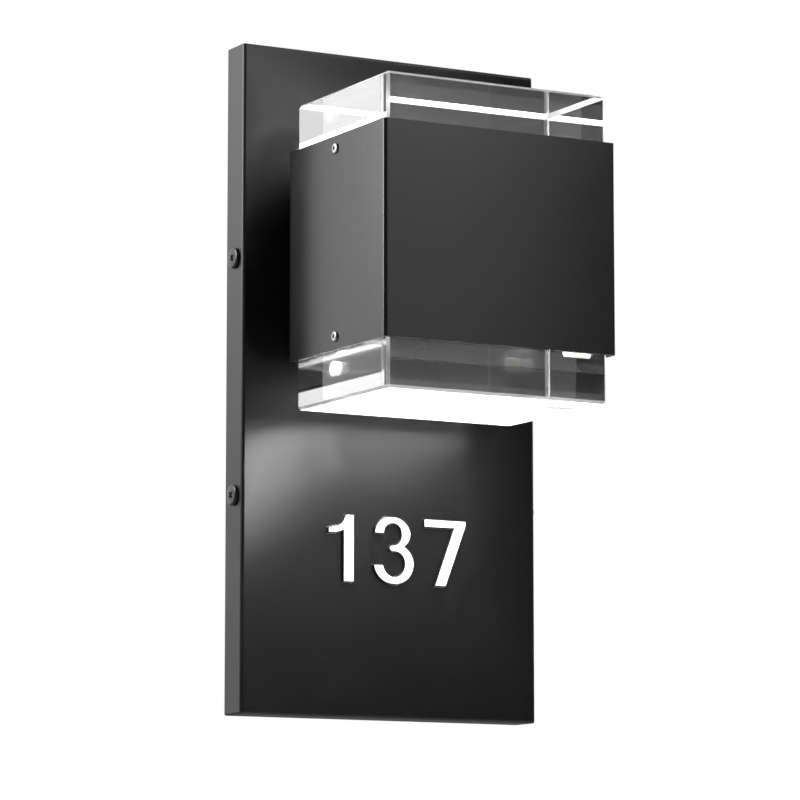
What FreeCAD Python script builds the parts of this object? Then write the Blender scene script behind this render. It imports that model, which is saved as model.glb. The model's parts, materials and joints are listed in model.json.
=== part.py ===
import FreeCAD, Part
import Sketcher
import math
import os
import re

# Room number wall light: a folded back plate with a lit number, and a square head with two clear blocks.
# Millimetres. +X right, +Y into the wall, +Z up.
# The wall is y = 0 and the origin is the centre of the bracket.

Vector = FreeCAD.Vector
Rotation = FreeCAD.Rotation
Placement = FreeCAD.Placement

# Driving sizes

SIZES = [
    # Back plate, a folded pan
    ("plate_width", 152.4),
    ("plate_height", 304.8),
    ("plate_depth", 16.2),
    ("plate_sheet", 1.2),
    ("plate_bend", 1.6),
    ("plate_corner", 0.9),
    # Foam seal round the inside of the pan, against the wall
    ("seal_width", 2.4),
    ("seal_depth", 3.0),
    # Wall bracket
    ("bracket_sheet", 1.5),
    ("bracket_bend", 2.2),
    ("bracket_gap", 2.8),
    ("bracket_height", 132.0),
    ("bracket_reach", 12.6),
    ("tab_height", 24.0),
    ("cable_hole", 48.0),
    ("slot_width", 4.8),
    ("wide_slot_length", 14.4),
    ("wide_slot_spacing", 79.4),
    ("tall_slot_length", 10.0),
    ("tall_slot_spacing", 83.3),
    # Side screws and their weld nuts
    ("side_screw_spacing", 108.0),
    ("side_screw_depth", 8.5),
    ("side_screw_head", 9.5),
    ("side_screw_crown", 1.8),
    ("side_screw_rim", 0.4),
    ("side_screw_thread", 4.0),
    ("side_screw_length", 10.0),
    ("side_screw_play", 0.3),
    ("side_screw_seat", 0.05),
    ("weld_nut_flats", 7.0),
    ("weld_nut_height", 3.2),
    # Earth screw, its ring and its lead
    ("earth_screw_across", 20.0),
    ("earth_screw_drop", 35.0),
    ("earth_screw_flats", 7.0),
    ("earth_screw_washer", 9.6),
    ("earth_screw_head", 3.0),
    ("earth_washer_sheet", 1.0),
    ("earth_screw_thread", 4.0),
    ("ring_sheet", 0.8),
    ("ring_across", 9.0),
    ("ring_tongue", 4.5),
    ("ring_barrel_lift", 0.2),
    ("ring_barrel", 3.6),
    ("ring_barrel_length", 6.0),
    # Head sleeve, a square tube
    ("sleeve_width", 117.2),
    ("sleeve_depth", 90.4),
    ("sleeve_height", 95.8),
    ("sleeve_back", 26.8),
    ("sleeve_foot", 4.9),
    ("sleeve_wall", 2.3),
    ("sleeve_bend", 1.6),
    # Neck between the plate and the sleeve
    ("neck_width", 76.0),
    ("neck_height", 60.0),
    ("neck_corner", 4.0),
    ("neck_screw_across", 56.0),
    ("neck_screw_along", 32.0),
    ("neck_screw_thread", 5.0),
    ("neck_screw_head", 9.4),
    ("neck_screw_crown", 3.0),
    ("neck_screw_rim", 0.8),
    ("neck_screw_play", 0.4),
    ("neck_nut_flats", 8.0),
    ("neck_nut_height", 4.0),
    # Wire bushing through the neck
    ("bushing_hole", 22.0),
    ("bushing_gap", 0.15),
    ("bushing_wall", 1.4),
    ("bushing_lip", 2.0),
    ("bushing_lip_depth", 1.4),
    # Clear blocks and their silicone seals
    ("block_gap", 0.7),
    ("block_reach", 21.8),
    ("block_seat", 12.5),
    ("block_chamfer", 1.3),
    ("block_seal_inset", 0.5),
    ("block_seal_height", 1.9),
    # Threaded inserts in the sides of the blocks, and the small button screws in them
    ("insert_drop", 5.8),
    ("insert_across", 6.6),
    ("insert_depth", 6.4),
    ("block_screw_head", 4.7),
    ("block_screw_crown", 1.0),
    ("block_screw_rim", 0.35),
    ("block_screw_thread", 2.5),
    ("block_screw_length", 6.5),
    ("block_screw_hex", 1.6),
    ("block_screw_hex_depth", 0.7),
    ("block_screw_play", 0.2),
    # Light engines in the head
    ("diffuser_sheet", 2.0),
    ("tray_depth", 12.0),
    ("tray_wall", 2.0),
    ("tray_floor", 3.0),
    ("tray_hole", 10.0),
    ("tray_hole_forward", 33.0),
    ("board_sheet", 1.6),
    ("board_gap", 1.25),
    ("board_margin", 2.2),
    ("chip_width", 3.5),
    ("chip_depth", 2.8),
    ("chip_height", 0.8),
    ("post_across", 6.5),
    ("post_inset_across", 5.6),
    ("post_inset_deep", 5.6),
    ("post_screw_thread", 3.0),
    ("post_screw_length", 8.0),
    ("post_screw_head", 5.5),
    ("post_screw_crown", 2.0),
    ("post_screw_rim", 0.5),
    # Driver that feeds the boards
    ("driver_gap_across", 4.6),
    ("driver_gap_deep", 17.2),
    ("driver_over_middle", 2.3),
    ("driver_corner", 2.0),
    ("driver_ear", 9.0),
    ("driver_ear_depth", 16.0),
    ("driver_ear_sheet", 3.0),
    ("driver_ear_play", 0.3),
    ("driver_screw_length", 5.5),
    # Leads
    ("mains_lead", 2.4),
    ("signal_lead", 1.8),
    ("mains_lead_pitch", 4.0),
    ("signal_lead_pitch", 4.0),
    ("mains_lead_drop", 3.1),
    ("signal_lead_rise", 0.5),
    ("lead_wall_gap", 4.0),
    # Terminal block in the pan
    ("terminal_width", 30.0),
    ("terminal_height", 14.0),
    ("terminal_depth", 8.0),
    ("terminal_foot", 11.0),
    ("terminal_pitch", 9.0),
    ("terminal_screw", 3.2),
    ("terminal_screw_inset", 3.5),
    ("terminal_screw_crown", 0.6),
    ("terminal_corner", 0.8),
    ("lead_socket_play", 0.4),
    ("lead_socket_depth", 5.0),
    # Number
    ("digit_height", 31.0),
    ("digit_drop", 91.5),
    ("digit_proud", 1.5),
    ("digit_gap", 0.15),
    ("digit_corner", 0.5),
    ("one_left", 33.3),
    ("three_left", 10.1),
    ("seven_right", 16.2),
    # Light box behind the number
    ("box_side_gap", 9.5),
    ("box_height", 56.0),
    ("box_depth", 10.6),
    ("box_wall", 1.5),
    ("box_play", 0.4),
    ("box_ear", 8.0),
    ("box_ear_height", 10.0),
    ("box_ear_sheet", 2.5),
    ("box_ear_spacing", 40.0),
    ("box_board_sheet", 1.0),
    ("box_board_margin", 4.0),
    ("box_lead_hole", 9.8),
    ("box_lead_drop", 12.0),
    ("box_lead_depth", 8.0),
    ("box_chip_rows", 20.0),
    ("stud_thread", 3.0),
    ("stud_length", 8.0),
    ("stud_play", 0.2),
    ("stud_nut_flats", 5.5),
    ("stud_nut_height", 2.4),
    # Cross recess in the screw heads
    ("recess_width", 0.9),
    ("recess_span", 3.6),
    ("recess_depth", 1.1),
    # How far a cutting tool runs past what it cuts
    ("overrun", 2.0),
]

# Counts

CHIPS_ACROSS = 5
CHIPS_DEEP = 4
BOX_CHIPS = 6
TERMINALS = 3

# Digit outlines as shares of the digit height, from the lower left corner.
# A straight step is (x, z, rounded) and a bend is (x, z on the way, x, z, rounded).

ONE_SHARES = [
    (0.250, 0.000, True),
    (0.437, 0.000, True),
    (0.437, 1.000, True),
    (0.290, 1.000, True),
    (0.262, 0.945, False),
    (0.228, 0.880, 0.150, 0.835, False),
    (0.000, 0.795, True),
    (0.000, 0.707, True),
    (0.150, 0.715, False),
    (0.250, 0.750, False),
]
THREE_SHARES = [
    (0.020, 0.740, True),
    (0.095, 0.925, 0.316, 1.000, False),
    (0.545, 0.925, 0.635, 0.770, False),
    (0.613, 0.655, 0.537, 0.565, False),
    (0.648, 0.455, 0.690, 0.290, False),
    (0.590, 0.085, 0.346, 0.000, False),
    (0.115, 0.075, 0.000, 0.285, True),
    (0.175, 0.290, True),
    (0.240, 0.165, 0.355, 0.118, False),
    (0.480, 0.185, 0.520, 0.300, False),
    (0.480, 0.425, 0.370, 0.478, False),
    (0.300, 0.478, True),
    (0.258, 0.530, True),
    (0.290, 0.583, True),
    (0.350, 0.585, False),
    (0.440, 0.645, 0.464, 0.760, False),
    (0.425, 0.855, 0.316, 0.890, False),
    (0.230, 0.850, 0.195, 0.740, True),
]
SEVEN_SHARES = [
    (0.000, 1.000, True),
    (0.722, 1.000, True),
    (0.722, 0.915, True),
    (0.378, 0.000, True),
    (0.172, 0.000, True),
    (0.500, 0.868, False),
    (0.000, 0.868, True),
]

# Places that several pieces share, worked out from the driving sizes

PLATE_FACE = "-(plate_depth)"
PLATE_INSIDE = "-(plate_depth - plate_sheet)"
SLEEVE_REAR = "-(sleeve_back)"
SLEEVE_FRONT = "-(sleeve_back + sleeve_depth)"
SLEEVE_MID_Y = "-(sleeve_back + sleeve_depth / 2)"
SLEEVE_TOP = "(sleeve_foot + sleeve_height)"
HEAD_MID_Z = "(sleeve_foot + sleeve_height / 2)"
BLOCK_HALF_X = "(sleeve_width / 2 - sleeve_wall - block_gap)"
BLOCK_HALF_Y = "(sleeve_depth / 2 - sleeve_wall - block_gap)"
BRACKET_HALF = "(plate_width / 2 - plate_sheet - bracket_gap)"
TRAY_MOUTH = "(block_seat + diffuser_sheet)"
TRAY_END = "(block_seat + diffuser_sheet + tray_depth)"
BOARD_REAR = "(block_seat + diffuser_sheet + tray_depth - tray_floor)"
DRIVER_FOOT = f"(sleeve_foot + {TRAY_END})"
DRIVER_TOP = f"({HEAD_MID_Z} + driver_over_middle)"
DRIVER_HALF_X = f"({BLOCK_HALF_X} - driver_gap_across - driver_ear)"
DRIVER_FRONT = f"({SLEEVE_MID_Y} - {BLOCK_HALF_Y} + driver_gap_deep)"
DRIVER_REAR = f"({SLEEVE_MID_Y} + {BLOCK_HALF_Y} - driver_gap_deep)"
BOARD_HALF_X = f"({BLOCK_HALF_X} - post_inset_across - post_screw_head / 2 - board_gap)"
BOARD_HALF_Y = f"({BLOCK_HALF_Y} - tray_wall - board_margin)"
BOX_MID_Z = "(-digit_drop + digit_height / 2)"
BOX_HALF_X = f"({BRACKET_HALF} - bracket_sheet - weld_nut_height - box_side_gap - box_ear)"
BOX_REAR = "-(plate_depth - plate_sheet - box_depth)"
TERMINAL_REAR = "-(plate_depth - plate_sheet - terminal_depth)"

doc = FreeCAD.newDocument("RoomNumberLight")
sheet = doc.addObject("Spreadsheet::Sheet", "sizes")
for row, (alias, value) in enumerate(SIZES, start=1):
    sheet.set(f"A{row}", alias)
    sheet.set(f"B{row}", str(value))
    sheet.setAlias(f"B{row}", alias)
doc.recompute()

ALIASES = {alias for alias, value in SIZES}
NODES = []

# Two points or ways nearer than this are the same
SAME = 1e-6

# How much of the shorter of two runs the bend of a lead takes up
BEND_SHARE = 0.45


# Ways to name a size

def bound(text):
    """Point each size named in an expression at its cell."""
    return re.sub(r"[a-z][a-z_]*", lambda word: f"sizes.{word[0]}" if word[0] in ALIASES else word[0], text)


def size(text):
    """Give the value of an expression in the driving sizes."""
    return float(sheet.evalExpression(re.sub(r"sizes\.", "", bound(text))))


def node(solid, label):
    """Name a finished piece, which is then written to a file of that name."""
    solid.Label = label
    NODES.append(solid)
    return solid


def place(solid, x, y, z):
    """Bind where a solid stands."""
    for axis, text in zip("xyz", (x, y, z)):
        solid.setExpression(f"Placement.Base.{axis}", bound(text))


# Primitive solids

TURNS = {
    "+X": Rotation(Vector(0, 1, 0), 90),
    "-X": Rotation(Vector(0, 1, 0), -90),
    "+Y": Rotation(Vector(1, 0, 0), -90),
    "-Y": Rotation(Vector(1, 0, 0), 90),
    "+Z": Rotation(),
    "-Z": Rotation(Vector(1, 0, 0), 180),
}


def box(name, x, y, z):
    """A box between a low and a high expression on each axis."""
    solid = doc.addObject("Part::Box", name)
    for side, (low, high) in zip(("Length", "Width", "Height"), (x, y, z)):
        solid.setExpression(side, bound(f"({high}) - ({low})"))
    place(solid, x[0], y[0], z[0])
    return solid


def rod(name, across, length, at, way="+Z"):
    """A cylinder of a given diameter and length from a point."""
    solid = doc.addObject("Part::Cylinder", name)
    solid.Placement = Placement(Vector(), TURNS[way])
    solid.setExpression("Radius", bound(f"({across}) / 2"))
    solid.setExpression("Height", bound(length))
    place(solid, *at)
    return solid


def hexagon(name, flats, length, at, way="+Z"):
    """A hexagonal prism of a given width across flats from a point."""
    solid = doc.addObject("Part::Prism", name)
    solid.Polygon = 6
    solid.Placement = Placement(Vector(), TURNS[way])
    solid.setExpression("Circumradius", bound(f"({flats}) / sqrt(3)"))
    solid.setExpression("Height", bound(length))
    place(solid, *at)
    return solid


def joined(name, solids):
    """Several overlapping solids made one."""
    fuse = doc.addObject("Part::MultiFuse", name)
    fuse.Shapes = solids
    return fuse


def group(name, solids):
    """Several separate solids kept side by side."""
    compound = doc.addObject("Part::Compound", name)
    compound.Links = solids
    return compound


def less(name, base, tools):
    """A solid with some tools cut away from it."""
    cut = doc.addObject("Part::Cut", name)
    cut.Base = base
    cut.Tool = tools[0] if len(tools) == 1 else group(name + "_tools", tools)
    return cut


# Bodies made from sketches

def new_body(name):
    return doc.addObject("PartDesign::Body", name)


def rectangle(body, role, name, offset, low, high):
    """A rectangle sketched at an offset from one of the body's own planes."""
    sketch = body.newObject("Sketcher::SketchObject", name)
    plane = next(feature for feature in body.Origin.OriginFeatures if feature.Role == role)
    sketch.AttachmentSupport = [(plane, "")]
    sketch.MapMode = "FlatFace"
    sketch.setExpression("AttachmentOffset.Base.z", bound(offset))
    (x0, y0), (x1, y1) = ([size(text) for text in corner] for corner in (low, high))
    corners = [Vector(x0, y0), Vector(x1, y0), Vector(x1, y1), Vector(x0, y1)]
    for start, end in zip(corners, corners[1:] + corners[:1]):
        sketch.addGeometry(Part.LineSegment(start, end), False)
    for side in range(len(corners)):
        sketch.addConstraint(Sketcher.Constraint("Coincident", side, 2, (side + 1) % len(corners), 1))
        sketch.addConstraint(Sketcher.Constraint("Vertical" if side % 2 else "Horizontal", side))
    for corner, texts in ((0, low), (2, high)):
        for kind, text in zip(("DistanceX", "DistanceY"), texts):
            index = sketch.addConstraint(Sketcher.Constraint(kind, -1, 1, corner, 1, size(text)))
            sketch.setExpression(f"Constraints[{index}]", bound(text))
    return sketch


def pad(body, name, sketch, length):
    feature = body.newObject("PartDesign::Pad", name)
    feature.Profile = sketch
    feature.setExpression("Length", bound(length))
    doc.recompute()
    return feature


def pocket(body, name, sketch, length, reverse=False):
    """A pocket, which has to take something away."""
    before = body.Tip.Shape.Volume
    feature = body.newObject("PartDesign::Pocket", name)
    feature.Profile = sketch
    feature.Reversed = reverse
    feature.setExpression("Length", bound(length))
    doc.recompute()
    if not feature.Shape.Volume < before:
        raise RuntimeError(f"{name} cuts nothing")
    return feature


def ease(body, name, kind, property_name, width, wanted):
    """Round or chamfer the edges of the body's last feature that a test picks."""
    base = body.Tip
    picked = [f"Edge{number}" for number, edge in enumerate(base.Shape.Edges, start=1) if wanted(edge)]
    feature = body.newObject(f"PartDesign::{kind}", name)
    feature.Base = (base, picked)
    feature.setExpression(property_name, bound(width))
    doc.recompute()
    return feature


def runs_along(edge, axis):
    """Whether a straight edge runs along an axis."""
    if not isinstance(edge.Curve, Part.Line):
        return False
    return abs(getattr(edge.tangentAt(edge.FirstParameter), axis)) == 1


def lies_at(edge, axis, value):
    """Whether both ends of an edge have the same place on an axis."""
    return all(math.isclose(getattr(vertex.Point, axis), value, abs_tol=SAME) for vertex in edge.Vertexes)


# Fasteners

def recess(name, head_top):
    """The two crossed slots of a screw's drive, at the top of its head along +Z."""
    slots = []
    spans = (("recess_span", "recess_width"), ("recess_width", "recess_span"))
    for index, (along, across) in enumerate(spans):
        slots.append(box(f"{name}_slot_{index}", (f"-{along} / 2", f"{along} / 2"),
                         (f"-{across} / 2", f"{across} / 2"),
                         (f"{head_top} - recess_depth", f"{head_top} + overrun")))
    return joined(f"{name}_cross", slots)


def domed_head(name, across, crown, rim):
    """A domed screw head standing on the plane z = 0: a short rim and a spherical crown."""
    dome = f"(({crown}) - ({rim}))"
    radius = f"((({across}) / 2) ^ 2 + {dome} ^ 2) / (2 * {dome})"
    ball = doc.addObject("Part::Sphere", f"{name}_ball")
    ball.setExpression("Radius", bound(radius))
    place(ball, "0", "0", f"{crown} - {radius}")
    blank = rod(f"{name}_blank", across, crown, ("0", "0", "0"))
    head = doc.addObject("Part::Common", f"{name}_head")
    head.Base = blank
    head.Tool = ball
    return head


def screw(name, way, at, across, crown, rim, thread, length, seat="0", hex_flats=None):
    """A domed screw whose head stands on a face, pointing along a way, with its shank behind it."""
    head = domed_head(name, across, crown, rim)
    shank = rod(f"{name}_shank", thread, f"{length} + ({crown}) / 2", ("0", "0", f"-({length})"))
    blank = joined(f"{name}_blank_screw", [head, shank])
    if hex_flats:
        drive = hexagon(f"{name}_drive", hex_flats, "block_screw_hex_depth + overrun",
                        ("0", "0", f"{crown} - block_screw_hex_depth"))
    else:
        drive = recess(name, crown)
    done = less(name, blank, [drive])
    done.Placement = Placement(Vector(), TURNS[way])
    lifted = [f"({text}) {way[0]} ({seat})" if way[1] == axis else text for text, axis in zip(at, "XYZ")]
    place(done, *lifted)
    return done


def nut(name, way, at, flats, height, thread):
    """A hexagonal nut on a face."""
    blank = hexagon(f"{name}_blank", flats, height, at, way)
    bore = rod(f"{name}_bore", thread, height, at, way)
    return less(name, blank, [bore])


# Leads

def lead_path(points):
    """Straight runs joined by tangent arcs, each as large as its two runs allow, where the route turns."""
    corners = [Vector(*(size(text) for text in point)) for point in points]
    edges = []
    radii = []
    start = corners[0]
    for before, corner, after in zip(corners, corners[1:], corners[2:]):
        inward = (before - corner).normalize()
        outward = (after - corner).normalize()
        half_turn = (math.pi - inward.getAngle(outward)) / 2
        if half_turn < SAME:
            continue
        reach = BEND_SHARE * min((before - corner).Length, (after - corner).Length)
        radius = reach / math.tan(half_turn)
        radii.append(round(radius, 1))
        first = corner + inward * reach
        last = corner + outward * reach
        middle_line = (inward + outward).normalize()
        middle = corner + middle_line * (radius / math.cos(half_turn) - radius)
        edges.append(Part.LineSegment(start, first).toShape())
        edges.append(Part.Arc(first, middle, last).toShape())
        start = last
    edges.append(Part.LineSegment(start, corners[-1]).toShape())
    return Part.Wire(edges), radii


def lead(name, points, across):
    """A tube along a path of straight runs and arcs."""
    path, radii = lead_path(points)
    start = path.Edges[0].Vertexes[0].Point
    way = path.Edges[0].tangentAt(path.Edges[0].FirstParameter)
    ring = Part.Wire(Part.Circle(start, way, size(across) / 2).toShape())
    tube = path.makePipeShell([ring], True, True)
    expected = math.pi * (size(across) / 2) ** 2 * path.Length
    print(f"lead {name}: length {path.Length:.1f}, radii {radii}, volume share {tube.Volume / expected:.4f}")
    solid = doc.addObject("Part::Feature", name)
    solid.Shape = tube
    return solid


# The wall side

def back_plate():
    """The folded pan: face and four returned sides, open to the wall."""
    half_x = "plate_width / 2"
    half_z = "plate_height / 2"
    body = new_body("plate_shell")
    face = rectangle(body, "XZ_Plane", "plate_outline", "0", (f"-{half_x}", f"-{half_z}"), (half_x, half_z))
    pad(body, "plate_block", face, "plate_depth")
    ease(body, "plate_corners", "Fillet", "Radius", "plate_corner", lambda edge: runs_along(edge, "y"))
    front = -size("plate_depth")
    ease(body, "plate_bends", "Fillet", "Radius", "plate_bend", lambda edge: lies_at(edge, "y", front))
    inner_x = f"({half_x} - plate_sheet)"
    inner_z = f"({half_z} - plate_sheet)"
    hollow = rectangle(body, "XZ_Plane", "plate_hollow", "0",
                       (f"-{inner_x}", f"-{inner_z}"), (inner_x, inner_z))
    pocket(body, "plate_inside", hollow, "plate_depth - plate_sheet", reverse=True)
    tools = [cutout(name, shares, left) for name, shares, left in DIGITS]
    thick = "plate_sheet + 2 * overrun"
    drill_y = f"{PLATE_FACE} - overrun"
    tools.append(rod("plate_wire_hole", "bushing_hole", thick, ("0", drill_y, HEAD_MID_Z), "+Y"))
    for index, (x, z) in enumerate(neck_screw_places()):
        tools.append(rod(f"plate_neck_hole_{index}", "neck_screw_thread + neck_screw_play", thick,
                         (x, drill_y, z), "+Y"))
    for end, sign in (("upper", ""), ("lower", "-")):
        place_of_hole = (f"-{half_x} - overrun", "-side_screw_depth", f"{sign}side_screw_spacing / 2")
        tools.append(rod(f"plate_side_hole_{end}", "side_screw_thread + 2 * side_screw_play",
                         "plate_width + 2 * overrun", place_of_hole, "+X"))
    node(less("pan", body, tools), "back_plate")


def wall_seal():
    """The foam strip just inside the pan's rim, pressed flat by the wall."""
    outer_x = "(plate_width / 2 - plate_sheet)"
    outer_z = "(plate_height / 2 - plate_sheet)"
    inner_x = f"({outer_x} - seal_width)"
    inner_z = f"({outer_z} - seal_width)"
    strip = box("seal_blank", (f"-{outer_x}", outer_x), ("-seal_depth", "0"), (f"-{outer_z}", outer_z))
    middle = box("seal_middle", (f"-{inner_x}", inner_x), ("-seal_depth - overrun", "overrun"),
                 (f"-{inner_z}", inner_z))
    node(less("seal_ring", strip, [middle]), "wall_seal")


def wall_bracket():
    """A sheet against the wall with four tabs turned forward for the side screws."""
    half_z = "bracket_height / 2"
    body = new_body("bracket_fold")
    outline = rectangle(body, "XZ_Plane", "bracket_outline", "0",
                        (f"-{BRACKET_HALF}", f"-{half_z}"), (BRACKET_HALF, half_z))
    pad(body, "bracket_block", outline, "bracket_reach")
    ease(body, "bracket_outer_bends", "Fillet", "Radius", "bracket_bend",
         lambda edge: runs_along(edge, "z") and lies_at(edge, "y", 0))
    inner = f"({BRACKET_HALF} - bracket_sheet)"
    channel = rectangle(body, "XZ_Plane", "bracket_channel", "bracket_sheet",
                        (f"-{inner}", f"-{half_z} - overrun"), (inner, f"{half_z} + overrun"))
    pocket(body, "bracket_inside", channel, "bracket_reach", reverse=True)
    tab_foot = f"({half_z} - tab_height)"
    between = rectangle(body, "XZ_Plane", "bracket_between", "bracket_bend",
                        (f"-{BRACKET_HALF} - overrun", f"-{tab_foot}"),
                        (f"{BRACKET_HALF} + overrun", tab_foot))
    pocket(body, "bracket_tabs", between, "bracket_reach", reverse=True)
    thick = "bracket_sheet + 2 * overrun"
    tools = [rod("bracket_cable_hole", "cable_hole", thick, ("0", "-bracket_sheet - overrun", "0"), "+Y")]
    for sign in ("-", ""):
        end = "low" if sign else "high"
        tools.append(slot(f"wide_slot_{end}", f"{sign}wide_slot_spacing / 2", "0", "wide_slot_length", "X"))
        tools.append(slot(f"tall_slot_{end}", "0", f"{sign}tall_slot_spacing / 2", "tall_slot_length", "Z"))
        place_of_hole = (f"-{BRACKET_HALF} - overrun", "-side_screw_depth", f"{sign}side_screw_spacing / 2")
        tools.append(rod(f"bracket_tab_holes_{end}", "side_screw_thread + 2 * side_screw_play",
                         f"2 * {BRACKET_HALF} + 2 * overrun", place_of_hole, "+X"))
    tools.append(rod("bracket_earth_hole", "earth_screw_thread", thick,
                     ("earth_screw_across", "-bracket_sheet - overrun", "-earth_screw_drop"), "+Y"))
    node(less("bracket_sheet_metal", body, tools), "wall_bracket")


def slot(name, x, z, length, along):
    """A round-ended slot through the bracket's sheet."""
    reach = f"(({length}) - slot_width) / 2"
    depth = ("-bracket_sheet - overrun", "overrun")
    shift = {"X": (reach, "0"), "Z": ("0", reach)}[along]
    half = {"X": (reach, "slot_width / 2"), "Z": ("slot_width / 2", reach)}[along]
    parts = [box(f"{name}_middle", (f"{x} - {half[0]}", f"{x} + {half[0]}"), depth,
                 (f"{z} - {half[1]}", f"{z} + {half[1]}"))]
    for sign in ("-", "+"):
        end = "low" if sign == "-" else "high"
        parts.append(rod(f"{name}_{end}", "slot_width", "bracket_sheet + 2 * overrun",
                         (f"{x} {sign} {shift[0]}", depth[0], f"{z} {sign} {shift[1]}"), "+Y"))
    return joined(name, parts)


def side_places():
    """The four side screws: name, way of the head, sign of x and of z."""
    for end, z_sign in (("upper", ""), ("lower", "-")):
        for side, way, x_sign in (("left", "-X", "-"), ("right", "+X", "")):
            yield f"{end}_{side}", way, x_sign, z_sign


def side_screws():
    """Truss-head screws through the pan's sides, and the nuts welded inside the bracket's tabs."""
    nuts = []
    for name, way, x_sign, z_sign in side_places():
        y = "-side_screw_depth"
        z = f"{z_sign}side_screw_spacing / 2"
        fastener = screw(f"fastener_{name}", way, (f"{x_sign}plate_width / 2", y, z), "side_screw_head",
                         "side_screw_crown", "side_screw_rim", "side_screw_thread", "side_screw_length",
                         seat="side_screw_seat")
        node(fastener, f"side_screw_{name}")
        inward = {"-X": "+X", "+X": "-X"}[way]
        tab_inside = f"{x_sign}({BRACKET_HALF} - bracket_sheet)"
        nuts.append(nut(f"weld_nut_{name}", inward, (tab_inside, y, z), "weld_nut_flats", "weld_nut_height",
                        "side_screw_thread + 2 * side_screw_seat"))
    node(group("weld_nuts", nuts), "bracket_weld_nuts")


def earth_point():
    """The green earth screw on the bracket, the ring under its head and the lead up to the terminals."""
    x = "earth_screw_across"
    z = "-earth_screw_drop"
    ring_face = "-(bracket_sheet + ring_sheet)"
    washer = rod("earth_washer", "earth_screw_washer", "earth_washer_sheet", (x, ring_face, z), "-Y")
    head = hexagon("earth_head", "earth_screw_flats", "earth_screw_head", (x, ring_face, z), "-Y")
    shank = rod("earth_shank", "earth_screw_thread", "bracket_sheet + ring_sheet + earth_washer_sheet",
                (x, "0", z), "-Y")
    node(joined("earth_fastener", [washer, head, shank]), "earth_screw")
    ring = rod("ring_blank", "ring_across", "ring_sheet", (x, "-bracket_sheet", z), "-Y")
    lead_y = "-(bracket_sheet + ring_barrel / 2 + ring_barrel_lift)"
    barrel_foot = f"({z} + earth_screw_washer / 2 + ring_sheet)"
    barrel = rod("ring_barrel_tube", "ring_barrel", "ring_barrel_length", (x, lead_y, barrel_foot))
    hole = rod("ring_hole", "earth_screw_thread", "ring_sheet + 2 * overrun",
               (x, "-bracket_sheet + overrun", z), "-Y")
    room = rod("ring_room", "mains_lead", "ring_barrel_length", (x, lead_y, f"{barrel_foot} + ring_sheet"))
    tongue = box("ring_strip", (f"{x} - ring_tongue / 2", f"{x} + ring_tongue / 2"),
                 (ring_face, "-bracket_sheet"), (z, f"{barrel_foot} + ring_sheet"))
    node(less("ring_lug", joined("ring_solid", [ring, tongue, barrel]), [hole, room]), "earth_ring")
    barrel_top = f"{barrel_foot} + ring_sheet"
    socket_top = "terminal_foot + lead_socket_depth"
    middle_z = f"({barrel_top} + terminal_foot) / 2"
    points = [
        (x, lead_y, barrel_top),
        (x, lead_y, f"{middle_z} - terminal_pitch"),
        ("terminal_pitch", f"({TERMINAL_REAR} - terminal_depth / 2)", f"{middle_z} + terminal_pitch"),
        ("terminal_pitch", f"({TERMINAL_REAR} - terminal_depth / 2)", socket_top),
    ]
    node(lead("earth_wire", points, "mains_lead"), "earth_lead")


# The head

def head_sleeve():
    """The square tube that carries everything at the front."""
    half_x = "sleeve_width / 2"
    inner_x = f"({half_x} - sleeve_wall)"
    body = new_body("sleeve_tube")
    outer = rectangle(body, "XY_Plane", "sleeve_outline", "sleeve_foot",
                      (f"-{half_x}", SLEEVE_FRONT), (half_x, SLEEVE_REAR))
    pad(body, "sleeve_block", outer, "sleeve_height")
    ease(body, "sleeve_bends", "Fillet", "Radius", "sleeve_bend", lambda edge: runs_along(edge, "z"))
    inner = rectangle(body, "XY_Plane", "sleeve_bore", f"{SLEEVE_TOP}",
                      (f"-{inner_x}", f"{SLEEVE_FRONT} + sleeve_wall"),
                      (inner_x, f"{SLEEVE_REAR} - sleeve_wall"))
    pocket(body, "sleeve_inside", inner, "sleeve_height")
    thick = "sleeve_wall + 2 * overrun"
    drill_y = f"{SLEEVE_REAR} + overrun"
    tools = [rod("sleeve_wire_hole", "bushing_hole", thick, ("0", drill_y, HEAD_MID_Z), "-Y")]
    for index, (x, z) in enumerate(neck_screw_places()):
        tools.append(rod(f"sleeve_neck_hole_{index}", "neck_screw_thread + neck_screw_play", thick,
                         (x, drill_y, z), "-Y"))
    for end, z in insert_heights():
        tools.append(rod(f"sleeve_block_hole_{end}", "block_screw_thread + block_screw_play",
                         "sleeve_width + 2 * overrun", (f"-{half_x} - overrun", SLEEVE_MID_Y, z), "+X"))
    node(less("sleeve_drilled", body, tools), "head_sleeve")


def neck_screw_places():
    """The four screws of the neck, about the middle of the head."""
    for x_sign in ("-", ""):
        for z_sign in ("-", "+"):
            yield f"{x_sign}neck_screw_across / 2", f"{HEAD_MID_Z} {z_sign} neck_screw_along / 2"


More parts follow.
